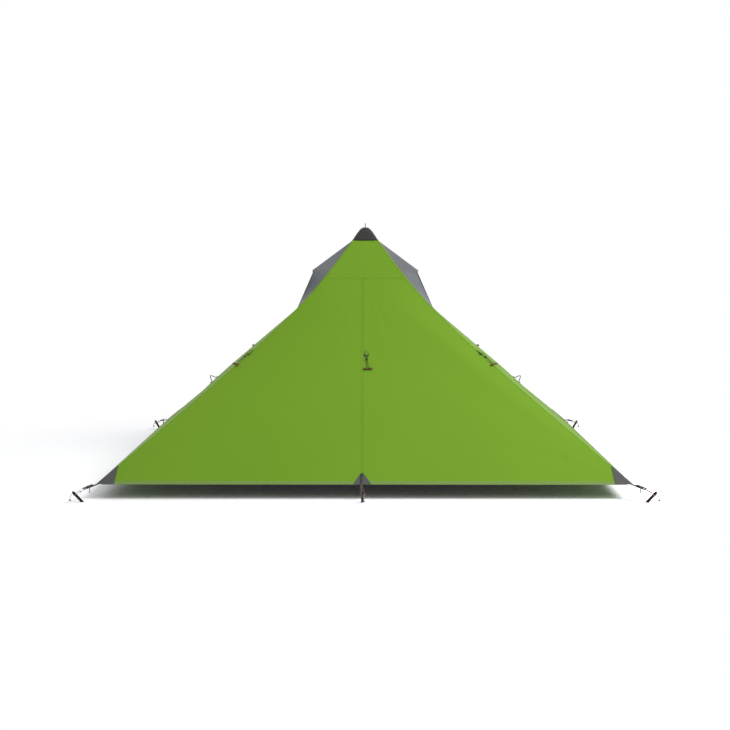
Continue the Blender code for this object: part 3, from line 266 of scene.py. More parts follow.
guy_cord = celled("braided_nylon_cord_rose_grey", "#b9a8a0", "#8a7972", 1.613, 0.4, 0.75)
dark_cord = celled("braided_nylon_cord_dark", "#34342f", "#20201d", 1.613, 0.4, 0.75)
green_thread = celled("bonded_nylon_thread_green", "#7fa73a", "#6f962e", 1.25, 0.1, 0.6)
dark_thread = celled("bonded_nylon_thread_dark", "#5d5e5b", "#3b3c3a", 1.25, 0.1, 0.6)
grip_foam = celled("eva_grip_foam", "#29292a", "#1a1a1b", 1.4286, 0.35, 0.92)
print("cords and foam added")

# %% [markdown]
# Pegs and pole are aluminium, drawn and then anodised. Drawing leaves fine lines along the length, and
# the anodised layer gives an even satin shine that hands and soil have dulled in places. The needle at
# the pole's tip is sintered carbide, the eyelet is plated brass and the slider of the zip is lacquered
# zinc. They show the same two things, fine marks and a dulled shine, so one function makes them all. Real
# drawing lines are finer than a hair. These are 1.6 mm apart and drawn out to about 27 mm.

# %% Aluminium, carbide, brass and zinc
LINE_MM, LINE_STRETCH, DULL_MM = 1.613, 0.06, 14.29


def drawn_metal(name, colour, lighter, low, high):
    material, tree, shader, where = new_material(name, Metallic=1.0)
    along = {"Vector": where["Object"], "Scale": (1.0, 1.0, LINE_STRETCH)}
    along = add_node(tree, "Mapping", along)["Vector"]
    lines = {"Vector": along, "Scale": per_metre(LINE_MM), "Detail": 3.0}
    lines = add_node(tree, "TexNoise", lines)["Fac"]
    colours = {"Fac": lines, "Color1": linear(colour), "Color2": linear(lighter)}
    shade = add_node(tree, "MixRGB", colours)["Color"]
    dull = add_node(tree, "TexNoise", {"Vector": where["Object"], "Scale": per_metre(DULL_MM)})["Fac"]
    dull = add_node(tree, "MapRange", {"Value": dull, "To Min": low, "To Max": high})["Result"]
    bump = add_node(tree, "Bump", {"Height": lines, "Distance": 0.00003})["Normal"]
    fill_inputs(tree, shader, {"Base Color": shade, "Roughness": dull, "Normal": bump})
    return material


peg_aluminium = drawn_metal("anodised_aluminium_dark_brown", "#2f1f1d", "#432f2b", 0.35, 0.5)
pole_aluminium = drawn_metal("anodised_aluminium_satin_grey", "#8d9093", "#a4a7aa", 0.28, 0.4)
carbide = drawn_metal("sintered_carbide_tip", "#77797b", "#8f9193", 0.3, 0.4)
plated_brass = drawn_metal("nickel_plated_brass", "#8e8f8c", "#aaaba6", 0.22, 0.32)
zinc_slider = drawn_metal("lacquered_zinc_zip_slider", "#3b3d3c", "#4a4c4b", 0.3, 0.4)
print("metals added")

# %% [markdown]
# Toggles, buckles, clamps and the zip's coil are plastic. The moulded ones come from a spark-eroded mould,
# so they are matt with a fine even grain, and edges that rub turn a little smoother. The plastic flows in
# patches of about 9 mm. The grain is drawn 0.8 mm across, coarser than the real one, to show in a close
# view.

# %% Moulded plastics
FLOW_MM, GRAIN_MM = 9.091, 0.8


def moulded(name, colour, lighter, roughness):
    material, tree, shader, where = new_material(name)
    flow = add_node(tree, "TexNoise", {"Vector": where["Object"], "Scale": per_metre(FLOW_MM)})["Fac"]
    colours = {"Fac": flow, "Color1": linear(colour), "Color2": linear(lighter)}
    shade = add_node(tree, "MixRGB", colours)["Color"]
    rubbed = {"Value": flow, "To Min": roughness - 0.06, "To Max": roughness + 0.1}
    rubbed = add_node(tree, "MapRange", rubbed)["Result"]
    grain = add_node(tree, "TexNoise", {"Vector": where["Object"], "Scale": per_metre(GRAIN_MM)})["Fac"]
    bump = add_node(tree, "Bump", {"Height": grain, "Distance": 0.00005})["Normal"]
    fill_inputs(tree, shader, {"Base Color": shade, "Roughness": rubbed, "Normal": bump})
    return material


toggle_acetal = moulded("acetal_rust_brown", "#574109", "#675010", 0.45)
black_nylon = moulded("glass_filled_nylon_black", "#1a1a1a", "#242424", 0.45)
coil_polyester = moulded("polyester_zip_coil_olive", "#628722", "#6c922a", 0.6)
print("materials in all", len(bpy.data.materials))

# %% [markdown]
# ## The pitched shape
#
# A pyramid tent has no poles in its ridges, so each ridge follows the curve that the cut and the tension
# give it: straight low down and steeper near the peak. A cloth simulation could find such a curve, but a
# formula can be fitted to the photograph's outline. One function gives the height of a ridge over its
# distance from the pole, and the panels are surfaces stretched between these curves. The sizes are the
# CAD model's, in metres.

# %% Sizes and ridge line
BASE_HALF_X, BASE_HALF_Y, HEM_Z = 1.245, 1.150, 0.073
PLAN_RATIO = BASE_HALF_Y / BASE_HALF_X
RIDGE_RISE, PEAK_RISE, PEAK_REACH = 1.029, 0.215, 0.200
CAP_SEAM_Z, DOOR_SEAM_Z, HOOD_FOOT_Z = 1.198, 1.000, 0.840


def lerp(a, b, t):
    return a + (b - a) * t


def spaced(start, end, count):
    """Values from start to end in so many equal steps, both ends included."""
    return [lerp(start, end, i / count) for i in range(count + 1)]


def smooth(t):
    t = min(max(t, 0.0), 1.0)
    return t * t * (3 - 2 * t)


def ridge_z(r):
    far = math.exp(-BASE_HALF_X / PEAK_REACH)
    return HEM_Z + RIDGE_RISE * (1 - r / BASE_HALF_X) + PEAK_RISE * (math.exp(-r / PEAK_REACH) - far)


def ridge_r(z):
    """How far the ridge is from the pole, along X, at height z."""
    low, high = 0.0, BASE_HALF_X
    for _ in range(40):
        middle = (low + high) / 2
        low, high = (middle, high) if ridge_z(middle) > z else (low, middle)
    return (low + high) / 2


def levels(top_z, foot_z, count):
    """Heights from top to foot, evenly spaced in plan."""
    inner = spaced(ridge_r(top_z), ridge_r(foot_z), count)[1:-1]
    return [top_z, *[ridge_z(r) for r in inner], foot_z]


print("ridge at half height", round(ridge_r(0.62), 3), "m from the pole")

# %% [markdown]
# Below its seam the door is flat, because it swings about a straight line: the fold that runs from the
# top of the zip to the right corner. Low down each panel ends just under its corner patch, as the cut
# cloth does.

# %% Door plane and panel edges
FOLD_TOP_X, FOLD_FOOT_X = 0.0063, 1.1514
PATCH_TOP_Z, PATCH_HEM, PATCH_LAP = 0.147, 0.082, 0.008


def door_y(z):
    """The door is a flat triangle between its seam above and the hem."""
    top_y = -PLAN_RATIO * ridge_r(DOOR_SEAM_Z)
    return lerp(top_y, -BASE_HALF_Y, (DOOR_SEAM_Z - z) / (DOOR_SEAM_Z - HEM_Z))


def fold_x(z):
    """The straight line on which the door folds back."""
    return lerp(FOLD_TOP_X, FOLD_FOOT_X, (DOOR_SEAM_Z - z) / (DOOR_SEAM_Z - HEM_Z))


def cloth_edge(z, half_base, ratio=1.0):
    """Half the width of a panel: out to the ridge, and lower down just under the corner patch."""
    edge = ratio * ridge_r(z)
    if z > PATCH_TOP_Z:
        return edge
    down = (PATCH_TOP_Z - z) / (PATCH_TOP_Z - HEM_Z)
    cut = lerp(ratio * ridge_r(PATCH_TOP_Z), half_base - PATCH_HEM, down)
    return min(edge, cut + PATCH_LAP)


print("fold ends", round(fold_x(HEM_Z), 3), "m right of the middle")

# %% [markdown]
# Cloth under tension isn't quite flat. Long shallow folds run out from each point where a peg or the
# pole pulls, and fade within half a metre. They are only a few millimetres deep here, because the tent
# in the photograph is pitched tight. A sum of waves round the anchors gives their depth. An anchor says
# where it is on the panel, across and up, how deep and how long its folds are, how many there are and how
# they are turned. A mask lets them fade out before every seam, so that neighbouring panels still meet.

# %% Tension folds
ZIP_X, ZIP_HALF = -0.010, 0.0033
ZIP_UP = Vector((0, door_y(DOOR_SEAM_Z) + BASE_HALF_Y, DOOR_SEAM_Z - HEM_Z)).normalized()
ZIP_OUT = Vector((0, -ZIP_UP.z, ZIP_UP.y))
ANCHOR_FLAT, MASK_WIDTH = 0.12, 0.09


def folds(across, up, anchors):
    """Depth of the tension folds at a point of a panel, from (across, up, height, reach, count, phase)."""
    depth = 0.0
    for at_across, at_up, height, reach, count, phase in anchors:
        far = math.hypot(across - at_across, up - at_up)
        angle = math.atan2(up - at_up, across - at_across)
        wave = math.cos(count * angle + phase)
        depth += height * math.exp(-far / reach) * smooth(far / ANCHOR_FLAT) * wave
    return depth


def edge_mask(*distances):
    mask = 1.0
    for distance in distances:
        mask *= smooth(distance / MASK_WIDTH)
    return mask


print("door leans back", round(math.degrees(math.acos(ZIP_UP.z)), 1), "degrees")

# %% [markdown]
# The front is the flat plane of the door in its middle, and bends back to the ridges at its edges. On the
# right the bend starts outside the fold line, so that the whole door stays flat. Near the hem it is the
# same on both sides. FRONT_UP is the height gained by each metre of cloth.

# %% The front
FRONT_UP, ZIP_FLAT = 0.697, 0.02
BEND_POWER, BEND_FOOT_Z, BEND_BLEND = 1.5, 0.25, 0.15
FRONT_ANCHORS = [
    (-BASE_HALF_X, 0.0, 0.0040, 0.34, 21, 0.6),
    (BASE_HALF_X, 0.0, 0.0040, 0.34, 21, 1.9),
    (ZIP_X, 0.0, 0.0012, 0.30, 15, 0.3),
    (0.0, 1.30, 0.0012, 0.40, 24, 1.0),
]


def front_point(x, z):
    """A point of the front, on the outside face of the cloth."""
    reach = ridge_r(z)
    ridge_y, share = -PLAN_RATIO * reach, min(abs(x) / max(reach, 1e-6), 1.0)
    if z > DOOR_SEAM_Z:
        y = ridge_y
    else:
        back = share**3
        if x > 0:
            past_fold = max(0.0, (x - fold_x(z)) / max(reach - fold_x(z), 1e-6))
            back = lerp(past_fold**BEND_POWER, back, smooth((BEND_FOOT_Z - z) / BEND_BLEND))
        y = lerp(min(door_y(z), ridge_y), ridge_y, back)
    up = (z - HEM_Z) / FRONT_UP
    mask = edge_mask(abs(x - ZIP_X) - ZIP_FLAT, reach - abs(x), z - HEM_Z, abs(z - DOOR_SEAM_Z))
    return Vector((x, y, z)) + ZIP_OUT * folds(x, up, FRONT_ANCHORS) * mask


print("door foot", [round(v, 3) for v in front_point(ZIP_X, HEM_Z)])

# %% [markdown]
# The other three panels are crowned: their middles stand out by 20 mm, where the cloth bellies between
# its taut edges. On each side panel a loop draws a shallow cone out of the cloth. Two short functions say
# which way is outward on a panel, from its mean slope.

# %% The sides and the back
SIDE_UP, BACK_UP = 0.72, 0.70
SIDE_CROWN, SIDE_CROWN_FOOT_Z, BACK_CROWN = 0.020, 0.360, 0.020
PULLOUT_Z, PULLOUT_LIFT, PULLOUT_SPREAD, PULLOUT_WIDEN = 0.438, 0.008, 0.20, 0.55
SIDE_ANCHORS = [
    (-BASE_HALF_Y, 0.0, 0.0045, 0.34, 19, 0.4),
    (BASE_HALF_Y, 0.0, 0.0045, 0.34, 19, 1.7),
    (0.0, 0.52, 0.0040, 0.22, 8, 0.0),
]
BACK_ANCHORS = [
    (-BASE_HALF_X, 0.0, 0.0045, 0.34, 21, 0.9),
    (BASE_HALF_X, 0.0, 0.0045, 0.34, 21, 2.2),
    (0.0, 0.0, 0.0050, 0.34, 15, 0.0),
    (0.0, 1.62, 0.0030, 0.45, 24, 1.0),
]


def front_out(sign_y):
    return Vector((0, 0.697 * sign_y, 0.717))


def side_out(sign_x):
    return Vector((0.69 * sign_x, 0, 0.72))


def crown(z, top_z, foot_z, height):
    """How far the middle of a panel stands out: nothing at its ends, most between them."""
    return height * math.sin(math.pi * (max(z, foot_z) - foot_z) / (top_z - foot_z))


def side_point(sign, share, z):
    """A point of a side panel. share runs from -1 at the front edge to 1 at the back edge."""
    half = cloth_edge(z, BASE_HALF_Y, PLAN_RATIO)
    y = share * half
    out = crown(z, HOOD_FOOT_Z, SIDE_CROWN_FOOT_Z, SIDE_CROWN) * (1 - share * share)
    drawn = max(0.0, 1 - math.hypot(z - PULLOUT_Z, PULLOUT_WIDEN * share * half) / PULLOUT_SPREAD)
    mask = edge_mask(half - abs(y), z - HEM_Z, HOOD_FOOT_Z - z)
    depth = folds(y, (z - HEM_Z) / SIDE_UP, SIDE_ANCHORS) * mask + PULLOUT_LIFT * drawn * drawn
    return Vector((sign * (ridge_r(z) + out), y, z)) + side_out(sign) * depth


def back_point(share, z):
    """A point of the back, in the same way."""
    half = cloth_edge(z, BASE_HALF_X)
    out = crown(z, CAP_SEAM_Z, HEM_Z, BACK_CROWN) * (1 - share * share)
    mask = edge_mask(half - abs(share) * half, z - HEM_Z, CAP_SEAM_Z - z)
    depth = folds(share * half, (z - HEM_Z) / BACK_UP, BACK_ANCHORS) * mask
    return Vector((share * half, PLAN_RATIO * ridge_r(z) + out, z)) + front_out(1) * depth


print("middle of the right side", [round(v, 3) for v in side_point(1, 0, PULLOUT_Z)])

# %% [markdown]
# ## Building pieces
#
# Every piece passes through one function that paints it, gives it the body that it rides on and hides
# the CAD nodes it stands for. The door's cloth crosses the fold, so it gets no body of its own: its
# placement is baked into its points.


def place(piece, body, material, stands_for=()):
    """Paints a piece, gives it its body unless it crosses the fold, and hides the CAD nodes it stands for."""
    if piece.name not in bpy.context.scene.collection.objects:
        bpy.context.scene.collection.objects.link(piece)
    if not piece.data.materials:
        piece.data.materials.append(material)
    if body == "fold":
        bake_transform(piece)
    else:
        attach(piece, body)
    if stands_for:
        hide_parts(*stands_for)
    return piece


def mesh_object(name, points, faces, uvs=None, matrix=None, smooth_angle=40):
    mesh = bpy.data.meshes.new(name)
    mesh.from_pydata([tuple(p) for p in points], [], faces)
    if uvs:
        layer = mesh.uv_layers.new(name="metres")
        for loop in mesh.loops:
            layer.data[loop.index].uv = uvs[loop.vertex_index]
    mesh.shade_smooth()
    mesh.set_sharp_from_angle(angle=math.radians(smooth_angle))
    piece = bpy.data.objects.new(name, mesh)
    if matrix is not None:
        piece.matrix_world = matrix
    return piece


# %% [markdown]
# ## Cords
#
# The cords come first, because they decide where the pegs stand. At each corner a cord is tied into a
# loop: it runs over the bar of a ring, out to the peg, round the peg and back. Each route is a list of
# points, the same as the CAD model's. The cord is a curve with a round bevel. A mesh tube would look the
# same, but a curve keeps its centreline, and that gives the cord's length.

# %% Curves for cords
def row_length(points):
    return sum((b - a).length for a, b in zip(points, points[1:]))


def cord_curve(name, points, radius, body, material, stands_for=(), cyclic=False, matrix=None):
    """A round cord or wire along its centreline."""
    curve = bpy.data.curves.new(name, "CURVE")
    curve.dimensions = "3D"
    curve.bevel_depth = radius
    curve.bevel_resolution = 3
    curve.use_fill_caps = True
    spline = curve.splines.new("POLY")
    spline.points.add(len(points) - 1)
    for point, at in zip(spline.points, points):
        point.co = (*at, 1.0)
    spline.use_cyclic_u = cyclic
    spline.use_smooth = True
    piece = bpy.data.objects.new(name, curve)
    if matrix is not None:
        piece.matrix_world = matrix
    return place(piece, body, material, stands_for)


print("cord curves ready")

# %% [markdown]
# A corner's hardware is a strap of webbing that slopes down from the tip of the cloth, and a moulded ring
# on its end. Each has a frame of its own axes, so that one description serves all four corners. TOUCH is
# the small gap between parts that rest against each other.

# %% Sizes and frames of the corner hardware
TOUCH = 0.0003
CORD_DIAMETER, CORD_END_Z = 0.0022, 0.042
RING_WIRE, RING_WIDTH, RING_LENGTH, RING_CORNER = 0.0025, 0.024, 0.018, 0.004
STRAP_WIDTH, STRAP_THICKNESS, STRAP_LENGTH, STRAP_TAIL = 0.015, 0.0016, 0.050, 0.030
STRAP_SLOPE, STRAP_BEND = math.radians(13), RING_WIRE + TOUCH + STRAP_THICKNESS / 2
CORNERS = {"back_left": (-1, 1), "back_right": (1, 1), "front_left": (-1, -1), "front_right": (1, -1)}


def frame_at(origin, up, outward):
    """A local frame: Z along up, Y along outward."""
    z_axis = Vector(up).normalized()
    y_axis = Vector(outward)
    y_axis = (y_axis - z_axis * y_axis.dot(z_axis)).normalized()
    turn = Matrix((y_axis.cross(z_axis), y_axis, z_axis)).transposed().to_4x4()
    return Matrix.Translation(origin) @ turn


def outward_direction(sign_x, sign_y):
    return Vector((sign_x * BASE_HALF_X, sign_y * BASE_HALF_Y, 0)).normalized()


def strap_frame(sign_x, sign_y):
    """Frame at a corner's tip: Z runs out and down along the webbing, Y stands up from it."""
    run = outward_direction(sign_x, sign_y) * math.cos(STRAP_SLOPE) - Vector((0, 0, math.sin(STRAP_SLOPE)))
    tip = Vector((sign_x * BASE_HALF_X, sign_y * BASE_HALF_Y, HEM_Z - STRAP_THICKNESS / 2))
    return frame_at(tip, run, (0, 0, 1))


def bar_frame(sign_x, sign_y):
    return strap_frame(sign_x, sign_y) @ Matrix.Translation((0, STRAP_BEND, STRAP_LENGTH))


print("ring bar", round(bar_frame(1, 1).translation.z, 3), "m above the ground")

# %% [markdown]
# A peg leans away from the tent, with the cord in the notch under its head. So the end of the cord gives
# the place of the peg. The loop is just wide enough for the peg's three fins.

# %% Where a peg stands
PEG_LEAN, ARC_STEPS = math.radians(43), 10
PEG_LENGTH, PEG_POINT, PEG_FIN, PEG_WEB = 0.160, 0.030, 0.0072, 0.0024
PEG_HEAD, PEG_NOTCH_DEPTH, PEG_NOTCH = 0.022, 0.0055, 0.94
LOOP_HALF_WIDTH = PEG_FIN * math.cos(math.radians(30)) + PEG_WEB / 2 + CORD_DIAMETER / 2 + TOUCH
LOOP_REACH = PEG_FIN + CORD_DIAMETER / 2 + TOUCH


def peg_arc(end, direction):
    """The cord's turn round a peg, square to the peg's lean."""
    across = Vector((-direction[1], direction[0], 0)).normalized()
    behind = Vector(direction) * math.cos(PEG_LEAN) - Vector((0, 0, math.sin(PEG_LEAN)))
    turns = [math.pi * (share - 0.5) for share in spaced(0, 1, ARC_STEPS)]
    return [end + across * math.sin(a) * LOOP_HALF_WIDTH + behind * math.cos(a) * LOOP_REACH for a in turns]


def peg_frame(direction, cord_end):
    """Where a peg stands: it leans outward, and the cord sits in its notch."""
    outward = Vector((direction[0], direction[1], 0))
    lean = outward * math.sin(PEG_LEAN) + Vector((0, 0, math.cos(PEG_LEAN)))
    return frame_at(cord_end + lean * (PEG_HEAD - PEG_NOTCH_DEPTH), lean, outward)


print("loop half width", round(LOOP_HALF_WIDTH * 1000, 1), "mm")

# %% [markdown]
# A knot in a thin cord is drawn as what it is: a few turns of the same cord wound round the standing
# part. A helix does that well at this size. The knot that ends a pull cord, or draws a toggle's loop
# together, is an overhand knot, which is a trefoil curve.

# %% Knots
HELIX_STEPS, TREFOIL_STEPS = 12, 36


def helix(centre, axis, radius, turns, pitch):
    axis = Vector(axis).normalized()
    first = axis.orthogonal().normalized()
    second = axis.cross(first)
    points = []
    for i in range(turns * HELIX_STEPS + 1):
        angle = 2 * math.pi * i / HELIX_STEPS
        along = pitch * (i / HELIX_STEPS - turns / 2)
        round_it = (first * math.cos(angle) + second * math.sin(angle)) * radius
        points.append(Vector(centre) + axis * along + round_it)
    return points


def trefoil(centre, size):
    points = []
    for i in range(TREFOIL_STEPS):
        t = 2 * math.pi * i / TREFOIL_STEPS
        x, y = math.sin(t) + 2 * math.sin(2 * t), math.cos(t) - 2 * math.cos(2 * t)
        points.append(Vector(centre) + Vector((x, y, -math.sin(3 * t))) * size / 3)
    return points


print("knots of", HELIX_STEPS, "and", TREFOIL_STEPS, "points a turn")

# %% [markdown]
# A corner's loop starts at its knot, goes back to the ring and over its bar, runs out to the peg, turns
# round it and comes back to the knot. It is pulled taut, so its long sides are straight.

# %% Corner loops
CORNER_CORD_RUN, BAR_STEPS, KNOT_SHARE = 0.048, 8, 0.45
peg_places = {}


def between(a, b, count):
    return [a.lerp(b, i / (count + 1)) for i in range(1, count + 1)]


def corner_loop(corner, sign_x, sign_y):
    frame_here, direction = bar_frame(sign_x, sign_y), outward_direction(sign_x, sign_y)
    across = Vector((-direction[1], direction[0], 0))
    bar = frame_here @ Vector((0, 0, RING_LENGTH))
    run = (frame_here.to_3x3() @ Vector((0, 0, 1))).normalized()
    lift = (frame_here.to_3x3() @ Vector((0, 1, 0))).normalized()
    end = bar + direction * CORNER_CORD_RUN
    end.z = CORD_END_Z
    wrap, turn = RING_WIRE + TOUCH + CORD_DIAMETER / 2, []
    for i in range(BAR_STEPS + 1):
        angle = math.pi * i / BAR_STEPS
        side = across * CORD_DIAMETER * (2 * i / BAR_STEPS - 1)
        turn.append(bar + lift * wrap * math.cos(angle) - run * wrap * math.sin(angle) + side)
    arc = peg_arc(end, direction)
    knot_at = turn[-1].lerp(arc[-1], KNOT_SHARE)
    toward = (arc[-1] - turn[-1]).normalized()
    route = [knot_at - toward * TOUCH, *between(knot_at, turn[-1], 1), *reversed(turn),
             *between(turn[0], arc[0], 2), *arc, *between(arc[-1], knot_at, 1), knot_at + toward * 2 * TOUCH]
    loop = cord_curve(f"corner_cord_loop_{corner}", route, CORD_DIAMETER / 2, "shelter", guy_cord,
                      [f"corner_cord_{corner}"])
    wound = helix(knot_at, toward, CORD_DIAMETER * 0.95, 3, CORD_DIAMETER * 0.95)
    knot = cord_curve(f"corner_cord_knot_{corner}", wound, CORD_DIAMETER * 0.48, "shelter", guy_cord)
    print(f"corner loop {corner}: {row_length(route):.3f} m of cord")
    return peg_frame(direction, end)


for corner, (sign_x, sign_y) in CORNERS.items():
    peg_places[corner] = corner_loop(corner, sign_x, sign_y)

# %% [markdown]
# The middle of the front hem and of the back hem is pegged too. There the cord is a plain loop, sewn into
# the hem with both ends.

# %% Hem loops
HEM_CORD_RUN, HEM_CORD_GAP = 0.098, 0.0015


def hem_loop(name, sign_y, x, slant):
    direction = Vector((slant, sign_y, 0)).normalized()
    start = Vector((x, sign_y * (BASE_HALF_Y - HEM_CORD_GAP), HEM_Z - CORD_DIAMETER / 2 - HEM_CORD_GAP))
    end = start + direction * HEM_CORD_RUN
    end.z = CORD_END_Z
    across = Vector((-direction.y, direction.x, 0)) * CORD_DIAMETER * 0.6
    arc = peg_arc(end, direction)
    first, last = start - across, start + across
    route = [first, *between(first, arc[0], 3), *arc, *between(arc[-1], last, 3), last]
    loop = cord_curve(f"hem_cord_loop_{name}", route, CORD_DIAMETER / 2, "shelter", guy_cord,
                      [f"hem_cord_{name}"])
    print(f"hem loop {name}: {row_length(route):.3f} m of cord")
    return peg_frame(direction, end)


peg_places["front"] = hem_loop("front", -1, ZIP_X - 0.003 - CORD_DIAMETER, 0.10)
peg_places["back"] = hem_loop("back", 1, 0.0, 0.0)

# %% [markdown]
# ## Pegs
#
# Each peg is a three-finned aluminium extrusion, cut to a point, with a notch under the head for the
# cord. The extrusion's section is a list of points, repeated at each height and made smaller towards the
# point: a loft. Cutting the notch and the point with booleans would leave ragged faces.

# %% Closed forms over rings
def grid_faces(rows, columns, closed=False):
    span = columns if closed else columns - 1
    faces = []
    for i in range(rows - 1):
        for j in range(span):
            a, b, k = i * columns, (i + 1) * columns, (j + 1) % columns
            faces.append((a + j, b + j, b + k, a + k))
    return faces


def outward_shell(points, faces):
    """Faces of a closed shell, turned so that its volume is positive."""
    volume = 0.0
    for face in faces:
        for k in range(1, len(face) - 1):
            volume += points[face[0]].dot(points[face[k]].cross(points[face[k + 1]]))
    return [tuple(reversed(f)) for f in faces] if volume < 0 else faces


def loft(name, rings, body, material, stands_for=(), matrix=None, smooth_angle=40):
    """A closed form skinned over rings that have the same number of points."""
    points, count = [Vector(p) for ring in rings for p in ring], len(rings[0])
    faces = grid_faces(len(rings), count, closed=True)
    faces += [tuple(range(count)), tuple(reversed(range(len(points) - count, len(points))))]
    piece = mesh_object(name, points, outward_shell(points, faces), matrix=matrix, smooth_angle=smooth_angle)
    return place(piece, body, material, stands_for)


print("loft ready")

# %% [markdown]
# A short pull cord goes through the head of each peg, to draw it out of the ground, and ends in a knot.
# Its route is a smooth curve through five points, cut into even steps.

# %% Pegs and their pull cords
PULL_ROUTE = [(0.0, -0.006), (0.010, -0.0045), (0.021, -0.0065), (0.030, -0.0105), (0.037, -0.0165)]
PULL_RADIUS = 0.0013
PEG_STATIONS = [(0.24, -PEG_LENGTH), (0.62, -PEG_LENGTH + 0.014), (1.0, -PEG_LENGTH + PEG_POINT),
                (1.0, -PEG_HEAD - 0.0008), (PEG_NOTCH, -PEG_HEAD + 0.003), (PEG_NOTCH, -PEG_HEAD + 0.008),
                (1.0, -PEG_HEAD + 0.0115), (1.0, -0.0010), (0.88, 0.0)]


def eased(points, count):
    """A smooth curve through the given points, cut into evenly spaced ones."""
    points = [Vector(p) for p in points]
    ends = [points[0] * 2 - points[1], *points, points[-1] * 2 - points[-2]]
    fine = []
    for i in range(1, len(ends) - 2):
        a, b, c, d = ends[i - 1 : i + 3]
        for k in range(16):
            t = k / 16
            fine.append(0.5 * (2 * b + (c - a) * t + (2 * a - 5 * b + 4 * c - d) * t * t
                               + (3 * b - a - 3 * c + d) * t**3))
    fine.append(points[-1])
    total = row_length(fine)
    even, walked, target = [fine[0]], 0.0, total / (count - 1)
    for a, b in zip(fine, fine[1:]):
        span = (b - a).length
        while walked + span >= target - 1e-9 and len(even) < count - 1:
            even.append(a.lerp(b, (target - walked) / span))
            target += total / (count - 1)
        walked += span
    return [*even, fine[-1]]


def fin_ring(scale, z):
    """The three-finned outline: a rounded end on each fin and a fillet in each valley."""
    ring, level = [], Vector((0, 0, z))
    for i in range(3):
        angle = math.pi / 2 + 2 * math.pi * i / 3
        along = Vector((math.cos(angle), math.sin(angle), 0))
        across = Vector((-along.y, along.x, 0))
        for reach, side in ((0.94, -0.5), (1.0, -0.3), (1.0, 0.3), (0.94, 0.5)):
            ring.append(along * PEG_FIN * scale * reach + across * PEG_WEB * side + level)
        for turn, out in ((52, 0.78), (60, 0.70), (68, 0.78)):
            valley = angle + math.radians(turn)
            ring.append(Vector((math.cos(valley), math.sin(valley), 0)) * PEG_WEB * out + level)
    return ring


for name, peg_place in peg_places.items():
    rings = [fin_ring(scale, z) for scale, z in PEG_STATIONS]
    loft(f"finned_peg_{name}", rings, f"peg_{name}_body", peg_aluminium, [f"peg_{name}"],
         matrix=peg_place, smooth_angle=30)
    route = eased([peg_place @ Vector((0, y, z)) for y, z in PULL_ROUTE], 20)
    pull = cord_curve(f"peg_pull_cord_{name}", route, PULL_RADIUS, f"peg_{name}_body", guy_cord)
    knot = cord_curve(f"peg_pull_knot_{name}", trefoil(route[-1], 0.0042), 0.0016, f"peg_{name}_body",
                      dark_cord, cyclic=True)
print("pegs", len(peg_places), "with pull cords of", round(row_length(route), 3), "m")

# %% [markdown]
# ## The fly
#
# A sheet of cloth is one grid of points with a little thickness. Its UV map is measured in metres along
# the grid, and the same lengths give the size of the flat cut. The thickness goes to the inner side, and
# outward only for what is sewn on top, so the outside face stays where the surface functions put it.

# %% Sheets of cloth
CLOTH_THICKNESS = 0.0008


def outward_faces(points, faces, outward):
    """The faces, turned round if most of the cloth would face away from the outward direction."""
    total = Vector((0, 0, 0))
    for face in faces:
        a, b, c = (points[k] for k in face[:3])
        total += (b - a).cross(c - a)
    return [tuple(reversed(f)) for f in faces] if total.dot(Vector(outward)) < 0 else faces


def grid_metres(rows):
    """UV in metres: lengths along each row from its middle, and down the middle column."""
    columns, middle = len(rows[0]), len(rows[0]) // 2
    uvs, down = [], 0.0
    for i, row in enumerate(rows):
        if i:
            down += (row[middle] - rows[i - 1][middle]).length
        across = [0.0]
        for j in range(1, columns):
            across.append(across[-1] + (row[j] - row[j - 1]).length)
        uvs += [(u - across[middle], down) for u in across]
    return uvs


def sharpen_rim(mesh):
    """Marks the outer edges sharp, so that the shading stays flat right up to where the cloth ends."""
    shared = {}
    for polygon in mesh.polygons:
        for key in polygon.edge_keys:
            shared[key] = shared.get(key, 0) + 1
    for edge in mesh.edges:
        if shared[edge.key] == 1:
            edge.use_edge_sharp = True


def cloth(name, rows, outward, body, material, stands_for=(), thick=CLOTH_THICKNESS, proud=False,
          drop=None):
    points = [p for row in rows for p in row]
    faces = grid_faces(len(rows), len(rows[0]))
    if drop:
        faces = [f for k, f in enumerate(faces) if not drop(*divmod(k, len(rows[0]) - 1))]
    faces = outward_faces(points, faces, outward)
    piece = mesh_object(name, points, faces, grid_metres(rows), smooth_angle=60)
    sharpen_rim(piece.data)
    solid = piece.modifiers.new("cloth_thickness", "SOLIDIFY")
    solid.thickness, solid.offset, solid.use_even_offset = thick, 1.0 if proud else -1.0, False
    return place(piece, body, material, stands_for)


print("cloth is", CLOTH_THICKNESS * 1000, "mm thick")

# %% [markdown]
# Six cut panels make the fly. Each is a grid of points on the surface functions above, so neighbours
# share their edges exactly, as sewn panels do. The door and the fixed strip beside it are one cut, which
# folds along the line where the door is tied back.

# %% The panels
SIDES = {"left": -1, "right": 1}


def front_rows(top_z, foot_z, count, columns, left, right):
    rows = []
    for z in levels(top_z, foot_z, count):
        rows.append([front_point(x, z) for x in spaced(left(z), right(z), columns - 1)])
    return rows


yoke_rows = front_rows(CAP_SEAM_Z, DOOR_SEAM_Z, 14, 33, lambda z: -ridge_r(z), ridge_r)
yoke = cloth("fly_yoke_cloth", yoke_rows, (0, -1, 1), "shelter", silnylon_green,
             ["fly_front_yoke"])

left_rows = front_rows(DOOR_SEAM_Z, HEM_Z, 56, 44,
                       lambda z: -cloth_edge(z, BASE_HALF_X), lambda z: ZIP_X - ZIP_HALF)
front_left = cloth("fly_front_left_cloth", left_rows, (0, -1, 1), "shelter", silnylon_green,
                   ["fly_front_left_panel"])

